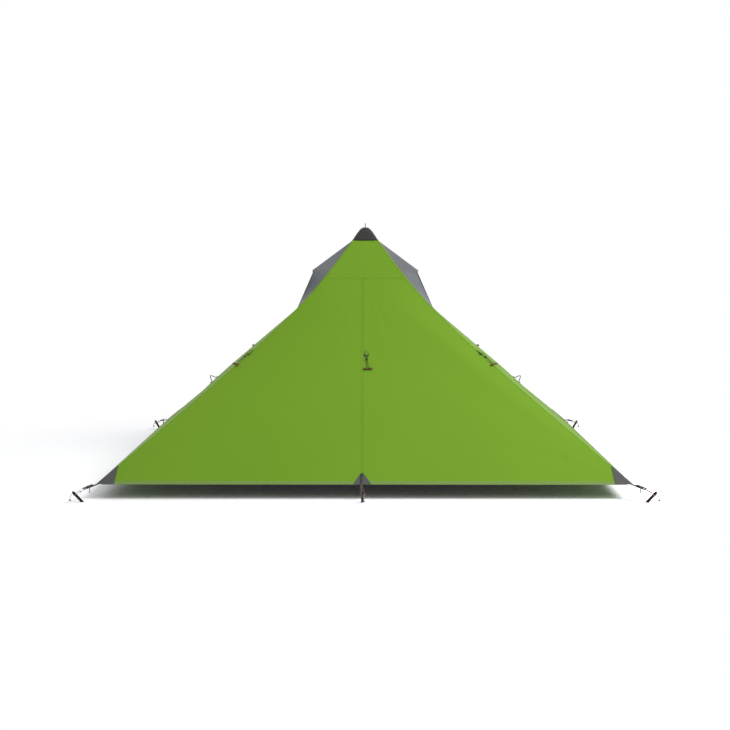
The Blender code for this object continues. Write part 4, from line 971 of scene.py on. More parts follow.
door_rows = front_rows(DOOR_SEAM_Z, HEM_Z, 56, 64,
                       lambda z: ZIP_X + ZIP_HALF, lambda z: cloth_edge(z, BASE_HALF_X))
door = cloth("fly_door_cloth", door_rows, (0, -1, 1), "fold", silnylon_green,
             ["door_leaf", "fly_front_right_panel"])

back_rows = [[back_point(-1 + i / 30, z) for i in range(61)] for z in levels(CAP_SEAM_Z, HEM_Z, 60)]
back = cloth("fly_back_cloth", back_rows, (0, 1, 1), "shelter", silnylon_green,
             ["fly_back_panel"])

for side, sign in SIDES.items():
    rows = [[side_point(sign, -1 + i / 24, z) for i in range(49)] for z in levels(HOOD_FOOT_Z, HEM_Z, 52)]
    cloth(f"fly_{side}_cloth", rows, (sign, 0, 1), "shelter", silnylon_green,
                        [f"fly_{side}_panel"])

# %% [markdown]
# ## Roof vents
#
# Under the cap, each side has a vent: a grey hood that starts as a roof flap, folds down at a brim and
# closes to the ridges with two cheeks. One function says how far the hood stands out at each height, one
# how wide its flat middle is, and a third adds the cheeks, which sag a little.

# %% Hood surface
BRIM_X, BRIM_Z, BRIM_HALF, BRIM_LIP, HOOD_TOP_HALF = 0.279, 1.0415, 0.150, 0.018, 0.034
CHEEK_SAG = 0.0035


def hood_out(z):
    if z >= BRIM_Z:
        return lerp(ridge_r(CAP_SEAM_Z), BRIM_X, (CAP_SEAM_Z - z) / (CAP_SEAM_Z - BRIM_Z))
    lip_z = BRIM_Z - BRIM_LIP
    return lerp(BRIM_X, ridge_r(HOOD_FOOT_Z), max(lip_z - z, 0.0) / (lip_z - HOOD_FOOT_Z))


def hood_half(z):
    return lerp(HOOD_TOP_HALF, BRIM_HALF, min((CAP_SEAM_Z - z) / (CAP_SEAM_Z - BRIM_Z), 1.0))


def hood_point(sign, y, z):
    """A point of the hood at height z, y from ridge to ridge."""
    out, flat = hood_out(z), hood_half(z)
    ridge_x, ridge_y = ridge_r(z) + 4 * TOUCH, PLAN_RATIO * ridge_r(z) - 2 * TOUCH
    t = min(max((abs(y) - flat) / max(ridge_y - flat, 1e-6), 0.0), 1.0)
    sag = CHEEK_SAG * math.sin(math.pi * t) if t > 0 else 0.0
    return Vector((sign * (lerp(out, ridge_x, t) - sag), y, z))


print("hood brim", BRIM_X, "m out,", BRIM_Z, "m up")

# %% [markdown]
# The hood is one sheet with a window left out of it under the brim. A net behind the window keeps insects
# out. A stiff strip, which stays from the CAD model, holds the brim away from the tent.

# %% Hoods and their nets
HOOD_CHEEK, HOOD_FLAT, HOOD_TOP_ROWS, HOOD_LOW_ROWS = 7, 12, 12, 14
NET_THICKNESS = 0.0004
hood_heights = levels(CAP_SEAM_Z - 0.0006, BRIM_Z, HOOD_TOP_ROWS)
hood_heights += [BRIM_Z - BRIM_LIP / 2, *levels(BRIM_Z - BRIM_LIP, HOOD_FOOT_Z, HOOD_LOW_ROWS)]


def hood_row(sign, z):
    flat, ridge_y = hood_half(z), PLAN_RATIO * ridge_r(z) - 2 * TOUCH
    cheek = spaced(ridge_y, flat, HOOD_CHEEK)[:-1]
    middle = spaced(-flat, flat, HOOD_FLAT)
    return [hood_point(sign, y, z) for y in [*[-c for c in cheek], *middle, *reversed(cheek)]]


def window(row, column):
    return row >= HOOD_TOP_ROWS + 2 and HOOD_CHEEK <= column < HOOD_CHEEK + HOOD_FLAT


hoods, nets = {}, {}
for side, sign in SIDES.items():
    hoods[side] = cloth(f"vent_hood_cloth_{side}", [hood_row(sign, z) for z in hood_heights], (sign, 0, 1),
                        "shelter", silnylon_grey, [f"vent_hood_{side}"], drop=window)
    net_edge, rows = BRIM_HALF - 0.001, []
    for z in spaced(BRIM_Z - BRIM_LIP, HOOD_FOOT_Z, 12):
        x = sign * (hood_out(z) - 0.0010)
        rows.append([Vector((x, y, z)) for y in spaced(-net_edge, net_edge, 16)])
    nets[side] = cloth(f"vent_net_mesh_{side}", rows, (sign, 0, 0.3), "shelter", insect_net,
                       [f"vent_net_{side}"], thick=NET_THICKNESS)
print("hoods", len(hoods), "and nets", len(nets))

# %% [markdown]
# ## Strips and stitches
#
# Straps, bindings and zip tapes are swept: one cross-section carried along a path. A curve with a bevel
# object could do it too, but would turn the strip over where the path bends. Here each point of the path
# is told which way is outward, or one direction serves for them all.

# %% Swept strips
def per_point(outward, path):
    return [outward] * len(path) if isinstance(outward, Vector) else outward


def tangents(path):
    ends = [path[0], *path, path[-1]]
    return [(ends[i + 2] - ends[i]).normalized() for i in range(len(path))]


def sweep(name, path, outward, section, body, material, matrix=None):
    """Carries a closed cross-section of (side, out) points along a path."""
    points, uvs, along = [], [], 0.0
    for i, (at, way, out) in enumerate(zip(path, tangents(path), per_point(outward, path))):
        side = way.cross(out).normalized()
        up = side.cross(way)
        along += (at - path[i - 1]).length if i else 0.0
        for s, n in section:
            points.append(at + side * s + up * n)
            uvs.append((along, s))
    count = len(section)
    faces = grid_faces(len(path), count, closed=True)
    faces += [tuple(range(count)), tuple(reversed(range(len(points) - count, len(points))))]
    piece = mesh_object(name, points, faces, uvs, matrix)
    piece.data.validate()
    return place(piece, body, material)


def flat_section(width, height, sunk=0.0002):
    """A flat strap's cross-section, with its edges rounded down."""
    half, edge = width / 2, min(width / 6, 0.0008)
    return [(-half, -sunk), (-half, height * 0.55), (-half + edge, height),
            (half - edge, height), (half, height * 0.55), (half, -sunk)]


print("strips ready")

# %% [markdown]
# A seam is held by a row of stitches, and each stitch is a small bead of thread. Bump could draw them,
# but beads keep their shadows in a close view. A real stitch is about 3 mm long. These are 4 mm long and
# 6 mm apart, to show at all. The same beads, a little larger, are the teeth of the zip.

# %% Stitches
STITCH, STITCH_PITCH = (0.0042, 0.0009, 0.0009), 0.0062


def walk(path, outward, lift, pitch=STITCH_PITCH, side=0.0):
    """Evenly spaced spots along a path, moved sideways and lifted off the cloth."""
    spots, carried = [], pitch / 2
    ways, normals = tangents(path), per_point(outward, path)
    for i in range(len(path) - 1):
        span = (path[i + 1] - path[i]).length
        while carried < span:
            t = carried / span
            way = ways[i].lerp(ways[i + 1], t).normalized()
            out = normals[i].lerp(normals[i + 1], t).normalized()
            at = path[i].lerp(path[i + 1], t) + way.cross(out).normalized() * side + out * lift
            spots.append((at, way, out))
            carried += pitch
        carried -= span
    return spots


def beads(name, spots, body, material, size=STITCH):
    """Many small eight-sided grains in one mesh: stitches or zip teeth. A spot is (place, along, out)."""
    points, faces = [], []
    half_along, half_side, half_out = (s / 2 for s in size)
    for at, way, out in spots:
        side = way.cross(out).normalized()
        k = len(points)
        points += [at - way * half_along, at + side * half_side, at + way * half_along,
                   at - side * half_side, at + out * half_out, at - out * half_out]
        faces += [(k + a, k + b, k + c) for a, b, c in
                  ((0, 1, 4), (1, 2, 4), (2, 3, 4), (3, 0, 4), (1, 0, 5), (2, 1, 5), (3, 2, 5), (0, 3, 5))]
    piece = mesh_object(name, points, outward_shell(points, faces), smooth_angle=80)
    return place(piece, body, material)


print("a stitch every", STITCH_PITCH * 1000, "mm")

# %% [markdown]
# Three trims finish each vent: a grey binding round the window, a green seam along the foot of the hood,
# and a row of stitches that holds the fold of the brim.

# %% Vent trims
for side, sign in SIDES.items():
    edge_z = spaced(BRIM_Z - BRIM_LIP, HOOD_FOOT_Z + 0.004, 12)
    down = [Vector((sign * hood_out(z), BRIM_HALF, z)) for z in edge_z]
    other = [Vector((p.x, -p.y, p.z)) for p in reversed(down)]
    top_x = sign * hood_out(edge_z[0])
    over = [Vector((top_x, y, edge_z[0])) for y in spaced(-BRIM_HALF, BRIM_HALF, 12)]
    binding = sweep(f"vent_window_binding_{side}", [*other, *over[1:-1], *down],
                    Vector((sign * 0.88, 0, 0.47)), flat_section(0.009, 0.0008, 0.0010), "shelter",
                    grey_tape)
    foot_r = ridge_r(HOOD_FOOT_Z)
    foot = [Vector((sign * (foot_r + 0.0006), share * PLAN_RATIO * foot_r, HOOD_FOOT_Z))
            for share in spaced(-1, 1, 30)]
    foot_seam = sweep(f"vent_foot_seam_{side}", foot, Vector((sign * 0.75, 0, 0.66)),
                      flat_section(0.010, 0.0009, 0.0010), "shelter", green_tape)
    brim_x = sign * (hood_out(BRIM_Z) + 0.0002)
    brim = [Vector((brim_x, y, BRIM_Z)) for y in spaced(-BRIM_HALF, BRIM_HALF, 20)]
    spots = walk(brim, Vector((sign * 0.5, 0, 0.86)), lift=0.0, side=0.006)
    brim_stitches = beads(f"vent_brim_stitches_{side}", spots, "shelter", dark_thread)
print("stitches on a brim", len(spots))

# %% [markdown]
# ## The cap at the peak
#
# A dark reinforced cap covers the place where the pole pushes up. Below it is four-sided like the tent;
# above it is round, with a metal eyelet for the pole tip. Each level is a superellipse: a curve that is
# nearly square for a high power and a circle for a power of two.

# %% Peak cap
CAP_RISE, CAP_FLAT_RADIUS, CAP_HOLE_RADIUS, CAP_CLOTH = 0.069, 0.0135, 0.0062, 0.0018
CAP_PROFILE = [(0.0, 0.0, 7.0), (0.36, 0.45, 5.0), (0.66, 0.78, 3.5), (0.86, 0.93, 2.5), (1.0, 1.0, 2.0)]
CAP_SEGMENTS, POWER_SHARE = 64, 100
cap_foot = ridge_r(CAP_SEAM_Z) + 0.0010


def curve_reach(c, s, power):
    """How far a superellipse of half width one reaches in the direction (c, s)."""
    return (abs(c) ** power + abs(s) ** power) ** (-1 / power)


def cap_ring(radius, z, squareness):
    """One level of the cap: round at a power of two, and in the tent's proportions above that."""
    ratio = lerp(1.0, PLAN_RATIO, smooth((squareness - 2.0) / 0.5))
    ring = []
    for i in range(CAP_SEGMENTS + 1):
        angle = 2 * math.pi * (i % CAP_SEGMENTS + 0.5) / CAP_SEGMENTS
        c, s = math.cos(angle), math.sin(angle)
        reach = curve_reach(c, s, squareness)
        ring.append(Vector((radius * reach * c, radius * ratio * reach * s, z)))
    return ring


cap_line = [(lerp(cap_foot, CAP_FLAT_RADIUS, inward), up * CAP_RISE, power / POWER_SHARE)
            for inward, up, power in CAP_PROFILE]
cap_rows = [cap_ring(p.x, CAP_SEAM_Z + p.y, max(p.z * POWER_SHARE, 2.0)) for p in eased(cap_line, 17)]
cap_rows.append(cap_ring(CAP_HOLE_RADIUS, CAP_SEAM_Z + CAP_RISE, 2.0))
cap = cloth("peak_cap_cloth", cap_rows, cap_rows[0][0], "shelter", reinforced_dark,
            ["peak_cap"], thick=CAP_CLOTH)
hem_ring = cap_ring(cap_foot, CAP_SEAM_Z + 0.003, 7.0)
hem_out = [Vector((p.x, p.y, 0.4 * p.length)).normalized() for p in hem_ring]
cap_hem = sweep("peak_cap_hem", hem_ring, hem_out, flat_section(0.007, 0.0010), "shelter", black_webbing)
cap_spots = walk(cap_rows[3], hem_out, lift=0.0006)
cap_stitches = beads("peak_cap_stitches", cap_spots, "shelter", dark_thread)
print("cap foot", round(cap_foot, 4), "m from the pole")

# %% [markdown]
# ## Seams and hem
#
# The four ridges are flat-felled seams: both edges of cloth are folded into each other and sewn down with
# two rows of thread. Here the fold is a narrow strip that lies on both panels, bent over the ridge, with
# a row of stitches on each side. Two functions find the panel under it, whichever it is at that height.

# %% Ridge seams
SEAM_HALF = 0.0055


def front_or_back(sign_y, x, z):
    return front_point(x, z) if sign_y < 0 else back_point(x / cloth_edge(z, BASE_HALF_X), z)


def side_or_hood(sign, y, z):
    if z > HOOD_FOOT_Z:
        return hood_point(sign, y, z)
    return side_point(sign, y / cloth_edge(z, BASE_HALF_Y, PLAN_RATIO), z)


seams, seam_threads = {}, {}
for corner, (sign_x, sign_y) in CORNERS.items():
    rows, spots = [], []
    for z in levels(CAP_SEAM_Z - 0.001, PATCH_TOP_Z - 0.003, 70):
        r = ridge_r(z)
        ridge = Vector((sign_x * r, sign_y * PLAN_RATIO * r, z))
        flat = front_or_back(sign_y, sign_x * (r - SEAM_HALF), z)
        near, far = (side_or_hood(sign_x, sign_y * (PLAN_RATIO * r - inset), z) for inset in (0.0007, 0.0017))
        steep = near + (far - near).normalized() * SEAM_HALF
        rows.append([flat, flat.lerp(ridge, 0.5), ridge, ridge.lerp(steep, 0.5), steep])
    seams[corner] = cloth(f"ridge_seam_{corner}", rows, (sign_x, sign_y, 1), "shelter", silnylon_green,
                          thick=0.0006, proud=True)
    for column, outward in ((1, front_out(sign_y)), (3, side_out(sign_x))):
        spots += walk([row[column] for row in rows], outward, lift=0.0011)
    seam_threads[corner] = beads(f"ridge_stitches_{corner}", spots, "shelter", green_thread)
print("stitches on one ridge", len(spots))

# %% [markdown]
# The seam between yoke and door is flat and narrow. The hem is bound with a folded olive tape: its section
# goes round the edge of the cloth, from outside to inside. The bindings stop at the corner patches.

# %% Yoke seam and hem binding
seam_line = [front_point(share * ridge_r(DOOR_SEAM_Z), DOOR_SEAM_Z) for share in spaced(-1, 1, 40)]
yoke_seam = sweep("yoke_seam", seam_line, ZIP_OUT, flat_section(0.004, 0.0004), "shelter", seam_green)
yoke_spots = walk(seam_line, ZIP_OUT, lift=0.0005)
yoke_threads = beads("yoke_stitches", yoke_spots, "shelter", green_thread)

HEM_END_X, HEM_END_Y = BASE_HALF_X - 0.026, BASE_HALF_Y - 0.026
HEM_SECTION = [(-0.0180, 0.0001), (-0.0174, 0.0006), (0.0, 0.0008), (0.0006, 0.0), (0.0, -0.0016),
               (-0.0174, -0.0014)]


def hem_piece(name, start, end, sign_y, body, count=60):
    """Binding along the front or back hem between two places in X."""
    route = [Vector((x, sign_y * BASE_HALF_Y, HEM_Z)) for x in spaced(start, end, count)]
    if sign_y > 0:
        route.reverse()
    return sweep(f"hem_binding_{name}", route, front_out(sign_y), HEM_SECTION, body, hem_tape)


hems = {"front_left": hem_piece("front_left", -HEM_END_X, ZIP_X - ZIP_HALF, -1, "shelter"),
        "door": hem_piece("door", ZIP_X + ZIP_HALF, HEM_END_X, -1, "fold", 120),
        "back": hem_piece("back", -HEM_END_X, HEM_END_X, 1, "shelter")}
for side, sign in SIDES.items():
    route = [Vector((sign * BASE_HALF_X, -sign * share * HEM_END_Y, HEM_Z)) for share in spaced(1, -1, 60)]
    hems[side] = sweep(f"hem_binding_{side}", route, side_out(sign), HEM_SECTION, "shelter", hem_tape)
print("hem bindings", len(hems))

# %% [markdown]
# ## Corner reinforcements
#
# The corners carry the whole pull of the pegs, so each has a patch of heavier cloth sewn over both
# panels. It is a sheet like the fly's, about a millimetre proud of them and bent over the ridge, with a
# row of stitches along both edges.

# %% Corner patches
def patch_row(top, tip, foot_front, foot_side, t):
    ridge, front_end, side_end = top.lerp(tip, t), top.lerp(foot_front, t), top.lerp(foot_side, t)
    return [front_end.lerp(ridge, i / 4) for i in range(4)] + [ridge.lerp(side_end, i / 4) for i in range(5)]


def corner_patch(corner, sign_x, sign_y):
    """The patch over a corner of the fly, and its stitches."""
    r = ridge_r(PATCH_TOP_Z)
    lift = Vector((sign_x * 0.0008, sign_y * 0.0008, 0.0010))
    top = Vector((sign_x * r, sign_y * PLAN_RATIO * r, PATCH_TOP_Z)) + lift
    tip = Vector((sign_x * BASE_HALF_X, sign_y * BASE_HALF_Y, HEM_Z)) + lift
    foot_x = Vector((sign_x * (BASE_HALF_X - PATCH_HEM), sign_y * BASE_HALF_Y, HEM_Z)) + lift
    foot_y = Vector((sign_x * BASE_HALF_X, sign_y * (BASE_HALF_Y - PATCH_HEM), HEM_Z)) + lift
    rows = [patch_row(top, tip, foot_x, foot_y, t) for t in spaced(0.02, 1.0, 10)]
    patch = cloth(f"corner_patch_cloth_{corner}", rows, (sign_x, sign_y, 1), "shelter", reinforced_grey,
                  [f"corner_patch_{corner}"], thick=0.0010, proud=True)
    spots = []
    for column, inner, outward in ((0, 1, front_out(sign_y)), (8, 7, side_out(sign_x))):
        spots += walk([row[column].lerp(row[inner], 0.25) for row in rows], outward, lift=0.0012)
    return patch, beads(f"corner_stitches_{corner}", spots, "shelter", dark_thread)


print("patch reaches", round(PATCH_TOP_Z - HEM_Z, 3), "m up the ridge")

# %% [markdown]
# A webbing strap is sewn to the tip of each patch. It goes round the bar of a moulded ring and back under
# itself, where short rows of dense stitches, the bar tacks, hold it, and a loose tail hangs down.

# %% Corner straps
TACK_LEVELS, TACK, TACK_PITCH = (-0.002, 0.002, 0.024, 0.030), (0.0012, 0.0040, 0.0008), 0.0022


def rounded_strip(width, thickness):
    half, edge, t = width / 2, 0.0006, thickness / 2
    return [(-half, 0), (-half + edge, t), (half - edge, t), (half, 0), (half - edge, -t), (-half + edge, -t)]


def strap_route():
    """The webbing in its own YZ plane: out to the ring, round its bar and back."""
    route = [Vector((0, 0, z)) for z in (-0.006, 0.010, 0.028, STRAP_LENGTH)]
    for i in range(1, 10):
        angle = math.pi * i / 10
        y, z = STRAP_BEND - STRAP_BEND * math.cos(angle), STRAP_LENGTH + STRAP_BEND * math.sin(angle)
        route.append(Vector((0, y, z)))
    top = 2 * STRAP_BEND
    return route + [Vector((0, top, STRAP_LENGTH)), Vector((0, top - 0.0004, STRAP_LENGTH - 0.016)),
                    Vector((0, top - 2 * TOUCH, STRAP_LENGTH - STRAP_TAIL))]


def corner_strap(corner, sign_x, sign_y):
    """A corner's strap, its loose tail and its bar tacks."""
    where, route = strap_frame(sign_x, sign_y), strap_route()
    facing = [way.cross(Vector((1, 0, 0))) for way in tangents(route)]
    strap = sweep(f"corner_strap_{corner}", route, facing, rounded_strip(STRAP_WIDTH, STRAP_THICKNESS * 1.3),
                  "shelter", black_webbing, matrix=where)
    top = where @ Vector((0.004, -0.0026, STRAP_LENGTH - 0.008))
    line = eased([top, top - Vector((sign_x * 0.001, sign_y * 0.001, 0.008)),
                  top + Vector((sign_x * 0.001, sign_y * 0.001, -0.022))], 8)
    tail = sweep(f"corner_strap_tail_{corner}", line, Vector((sign_x, sign_y, 0)).normalized(),
                 rounded_strip(0.006, 0.0010), "shelter", black_webbing)
    spots = []
    for z in TACK_LEVELS:
        line = [where @ Vector((x / 1000, 0.0010 if z < 0.01 else 0.0066, z)) for x in range(-6, 7)]
        spots += walk(line, where.to_3x3() @ Vector((0, 1, 0)), lift=0.0, pitch=TACK_PITCH)
    tacks = beads(f"corner_bar_tacks_{corner}", spots, "shelter", dark_thread, size=TACK)
    return [strap, tail, tacks]


print("strap", round(row_length(strap_route()), 3), "m long")

# %% [markdown]
# The ring is a wire bent to a rectangle with rounded corners. Four quarter turns joined by straight lines
# give its centreline, and the same outline serves for the buckles of the toggles.

# %% Rings, and all four corners
def rounded_frame(half_x, half_z, bend, y, middle_z, count):
    """A rectangle with rounded corners, flat in XZ. The half widths go to the centres of its bends."""
    line = []
    for side_x, side_z, start in ((1, 1, 0), (-1, 1, 1), (-1, -1, 2), (1, -1, 3)):
        for turn in spaced(start, start + 1, count):
            angle = math.pi / 2 * turn
            x = side_x * half_x + bend * math.cos(angle)
            z = middle_z + side_z * half_z + bend * math.sin(angle)
            line.append(Vector((x, y, z)))
    return line


ring_line = rounded_frame(RING_WIDTH / 2 - RING_CORNER, RING_LENGTH / 2 - RING_CORNER, RING_CORNER, 0,
                          RING_LENGTH / 2, 5)
for corner, signs in CORNERS.items():
    patch, threads = corner_patch(corner, *signs)
    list(corner_strap(corner, *signs))
    cord_curve(f"corner_ring_wire_{corner}", ring_line, RING_WIRE, "shelter", black_nylon,
               [f"corner_ring_{corner}"], cyclic=True, matrix=bar_frame(*signs))

# %% [markdown]
# ## The door zip
#
# A coil zip: two tapes, each with a row of teeth that mesh in the middle. The left tape belongs to the
# fixed panel and the right one to the door, so each half is its own piece on its own body. Real coil
# teeth are 1 to 2 mm apart. They are 4 mm apart here, to show as teeth.

# %% Zip tapes and teeth
TAPE_ASIDE, TEETH_ASIDE, THREAD_ASIDE = 0.0058, 0.0010, 0.0092
TOOTH, TOOTH_PITCH = (0.0034, 0.0040, 0.0028), 0.0042
zip_foot = Vector((ZIP_X, -BASE_HALF_Y, HEM_Z)) + ZIP_UP * 0.001
zip_length = (DOOR_SEAM_Z - HEM_Z) / ZIP_UP.z - 0.006
zip_line = [zip_foot + ZIP_UP * zip_length * i / 40 for i in range(41)]


def beside(reach):
    return [p + Vector((reach, 0, 0)) for p in zip_line]


for side, sign, body in (("left", -1, "shelter"), ("right", 1, "door")):
    tape = sweep(f"zip_tape_{side}", beside(sign * TAPE_ASIDE), ZIP_OUT, flat_section(0.0100, 0.0005, 0.0010),
                 body, silnylon_green)
    half_step = ZIP_UP * (TOOTH_PITCH / 2 if sign > 0 else 0.0)
    teeth_line = [p + half_step for p in beside(sign * TEETH_ASIDE)]
    teeth = beads(f"zip_teeth_{side}", walk(teeth_line, ZIP_OUT, lift=-0.0002, pitch=TOOTH_PITCH), body,
                  coil_polyester, size=TOOTH)
    spots = walk(beside(sign * THREAD_ASIDE), ZIP_OUT, lift=0.0008)
    threads = beads(f"zip_stitches_{side}", spots, body, green_thread)
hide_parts("zip_coil")
print("zip length", round(zip_length, 3), "m")

# %% [markdown]
# The slider and its pull are zinc castings. Both are lofts over rounded rectangles, because a casting has
# soft edges everywhere. A thin wire bridge on the slider holds the pull.

# %% Slider and pull
SLIDER_HALF, SLIDER_HEIGHT, PULL_THICKNESS = 0.005, 0.006, 0.0022
OVAL_POINTS, OVAL_POWER = 24, 3.0


def oval(a, b, z):
    """A ring of a loft: a rounded rectangle with the half widths a and b."""
    ring = []
    for i in range(OVAL_POINTS):
        angle = 2 * math.pi * i / OVAL_POINTS
        c, s = math.cos(angle), math.sin(angle)
        reach = curve_reach(c, s, OVAL_POWER)
        ring.append((a * reach * c, b * reach * s, z))
    return ring


slider_at = zip_foot + ZIP_UP * 0.050 + ZIP_OUT * (0.00045 + TOUCH + SLIDER_HEIGHT / 2)
slider_at.x = ZIP_X + ZIP_HALF - TOUCH - SLIDER_HALF
slider_place = frame_at(slider_at, ZIP_UP, ZIP_OUT)
slider_rings = [oval(0.0026, 0.0014, -0.0098), oval(0.0036, 0.0022, -0.0090), oval(0.0040, 0.0024, -0.002),
                oval(0.0046, 0.0025, 0.004), oval(0.0048, 0.0024, 0.008), oval(0.0040, 0.0016, 0.0098)]
loft("zip_slider_cast", slider_rings, "zip_slider_body", zinc_slider, ["zip_slider"],
     matrix=slider_place)
bridge = eased([(0, 0.0018, -0.006), (0, 0.0030, -0.004), (0, 0.0031, 0.003), (0, 0.0018, 0.006)], 12)
cord_curve("zip_slider_bridge", bridge, 0.0008, "zip_slider_body", zinc_slider,
           matrix=slider_place)
pull_at = slider_at + ZIP_OUT * (SLIDER_HEIGHT / 2 + TOUCH + PULL_THICKNESS / 2)
pull_rings = [oval(0.0016, 0.0008, 0.0010), oval(0.0032, 0.0010, -0.0004), oval(0.0036, 0.0011, -0.006),
              oval(0.0022, 0.0011, -0.012), oval(0.0024, 0.0011, -0.022), oval(0.0038, 0.0011, -0.036),
              oval(0.0038, 0.0011, -0.041), oval(0.0026, 0.0007, -0.0438)]
loft("zip_pull_tab", pull_rings, "zip_pull_body", zinc_slider, ["zip_pull"],
     matrix=frame_at(pull_at, ZIP_UP, ZIP_OUT))
print("slider at", [round(v, 3) for v in slider_at])

# %% [markdown]
# ## Toggles
#
# On each ridge, on the door and on the back is a small tie: a webbing tab with a black buckle, and a
# thin cord loop that ends in a rust-brown toggle bar. Each tie has a frame: Z points up the cloth, and Y
# points out of it.

# %% Where the toggles hang
TOGGLE_Z, TOGGLE_RADIUS, TOGGLE_DROP = 0.638, 0.0052, 0.110
DOOR_TOGGLE_ASIDE, DOOR_TAB_ASIDE = 0.0225, 0.008


def toggle_frames():
    r, frames = ridge_r(TOGGLE_Z), {}
    fall = (ridge_z(r + 0.01) - ridge_z(r - 0.01)) / 0.02
    for corner, (sign_x, sign_y) in CORNERS.items():
        spot = Vector((sign_x * r, sign_y * PLAN_RATIO * r, TOGGLE_Z))
        up, outward = (-sign_x, -sign_y * PLAN_RATIO, -fall), (sign_x, sign_y / PLAN_RATIO, 1.0)
        place_here = frame_at(spot, up, outward)
        frames[corner] = Matrix.Translation(place_here.to_3x3() @ Vector((0, 0.0008, 0))) @ place_here
    door_fall = (door_y(TOGGLE_Z - 0.01) - door_y(TOGGLE_Z + 0.01)) / 0.02
    spot = Vector((ZIP_X + ZIP_HALF + DOOR_TOGGLE_ASIDE, door_y(TOGGLE_Z), TOGGLE_Z))
    frames["front"] = frame_at(spot + ZIP_OUT * 0.0006, (0, -door_fall, 1.0), (0, -1, -door_fall))
    high, low = back_point(0, TOGGLE_Z + 0.04), back_point(0, TOGGLE_Z - 0.04)
    back_fall = (low.y - high.y) / 0.08
    back_y = PLAN_RATIO * r + crown(TOGGLE_Z, CAP_SEAM_Z, HEM_Z, BACK_CROWN)
    outward = Vector((0, 1, back_fall)).normalized()
    spot = Vector((0, back_y, TOGGLE_Z)) + outward * 0.0006
    frames["back"] = frame_at(spot, (0, -back_fall, 1.0), outward)
    return frames


print("toggle height", TOGGLE_Z, "m")

# %% [markdown]
# A toggle bar is turned: wide ends with a waist between them, where the cord goes round. A profile spun
# about an axis makes it. The cord comes through the buckle, is drawn together by a knot, and runs round
# the waist and back.

# %% Shapes of a toggle
BAR_PROFILE = [(0.0, 0.0225), (0.0026, 0.0224), (0.0042, 0.0215), (0.0051, 0.0196), (0.0052, 0.0160),
               (0.0052, 0.0090), (0.0050, 0.0068), (0.0040, 0.0050), (0.0036, 0.0035)]
BAR_PROFILE += [(r, -z) for r, z in reversed(BAR_PROFILE)]
LOOP_ROUTE = [(-0.0065, 0.0030, -0.0190), (-0.0046, 0.0042, -0.033), (-0.0012, 0.0056, -0.048),
              (-0.0026, 0.0056, -0.070), (-0.0024, 0.0074, -0.1035), (-0.0018, 0.0114, -0.1100),
              (0.0, 0.0068, -0.1150), (0.0018, 0.0022, -0.1100), (0.0026, 0.0032, -0.1035),
              (0.0028, 0.0050, -0.070), (0.0012, 0.0056, -0.048), (0.0048, 0.0042, -0.033),
              (0.0065, 0.0030, -0.0190)]
LOOP_KNOT, LOOP_KNOT_SIZE = (0.0, 0.0056, -0.048), 0.0050
TAB_ROUTE = [(0.0006, 0.017), (0.0008, 0.006), (0.0012, -0.004), (0.0030, -0.012), (0.0052, -0.0205),
             (0.0060, -0.0218), (0.0066, -0.0205), (0.0050, -0.011), (0.0032, -0.002), (0.0026, 0.008)]
TAB_LINE = [Vector((0, y, z)) for y, z in TAB_ROUTE]
BUCKLE_LINE = rounded_frame(0.0085, 0.0040, 0.002, 0.0032, -0.0165, 4)
BUCKLE_BARS = (-0.0125, -0.0205)


def spin(name, profile, body, material, stands_for=(), matrix=None, segments=24):
    """A profile of (radius, height) turned about the local Z axis."""
    rings = [(r, z) for r, z in profile if r > 1e-6]
    points = []
    for r, z in rings:
        for k in range(segments):
            angle = 2 * math.pi * k / segments
            points.append(Vector((r * math.cos(angle), r * math.sin(angle), z)))
    faces = [tuple(reversed(f)) for f in grid_faces(len(rings), segments, closed=True)]
    for end, first, turn in ((profile[0], 0, 1), (profile[-1], (len(rings) - 1) * segments, -1)):
        if end[0] <= 1e-6:
            points.append(Vector((0, 0, end[1])))
            for k in range(segments):
                face = (len(points) - 1, first + k, first + (k + 1) % segments)
                faces.append(face if turn > 0 else tuple(reversed(face)))
    piece = mesh_object(name, points, outward_shell(points, faces), matrix=matrix)
    return place(piece, body, material, stands_for)


print("toggle loop points", len(LOOP_ROUTE))

# %% [markdown]
# The door's tie belongs to the door and rides with it, and its tab is sewn a little to one side. Its cord
# comes back to the middle on the way down to the bar.

# %% Toggle bars, tabs and cords
def toggle_aside(aside, z):
    """How far the cord is still to one side at height z of the tie's frame."""
    return aside * smooth((0.11 + z) / 0.08)


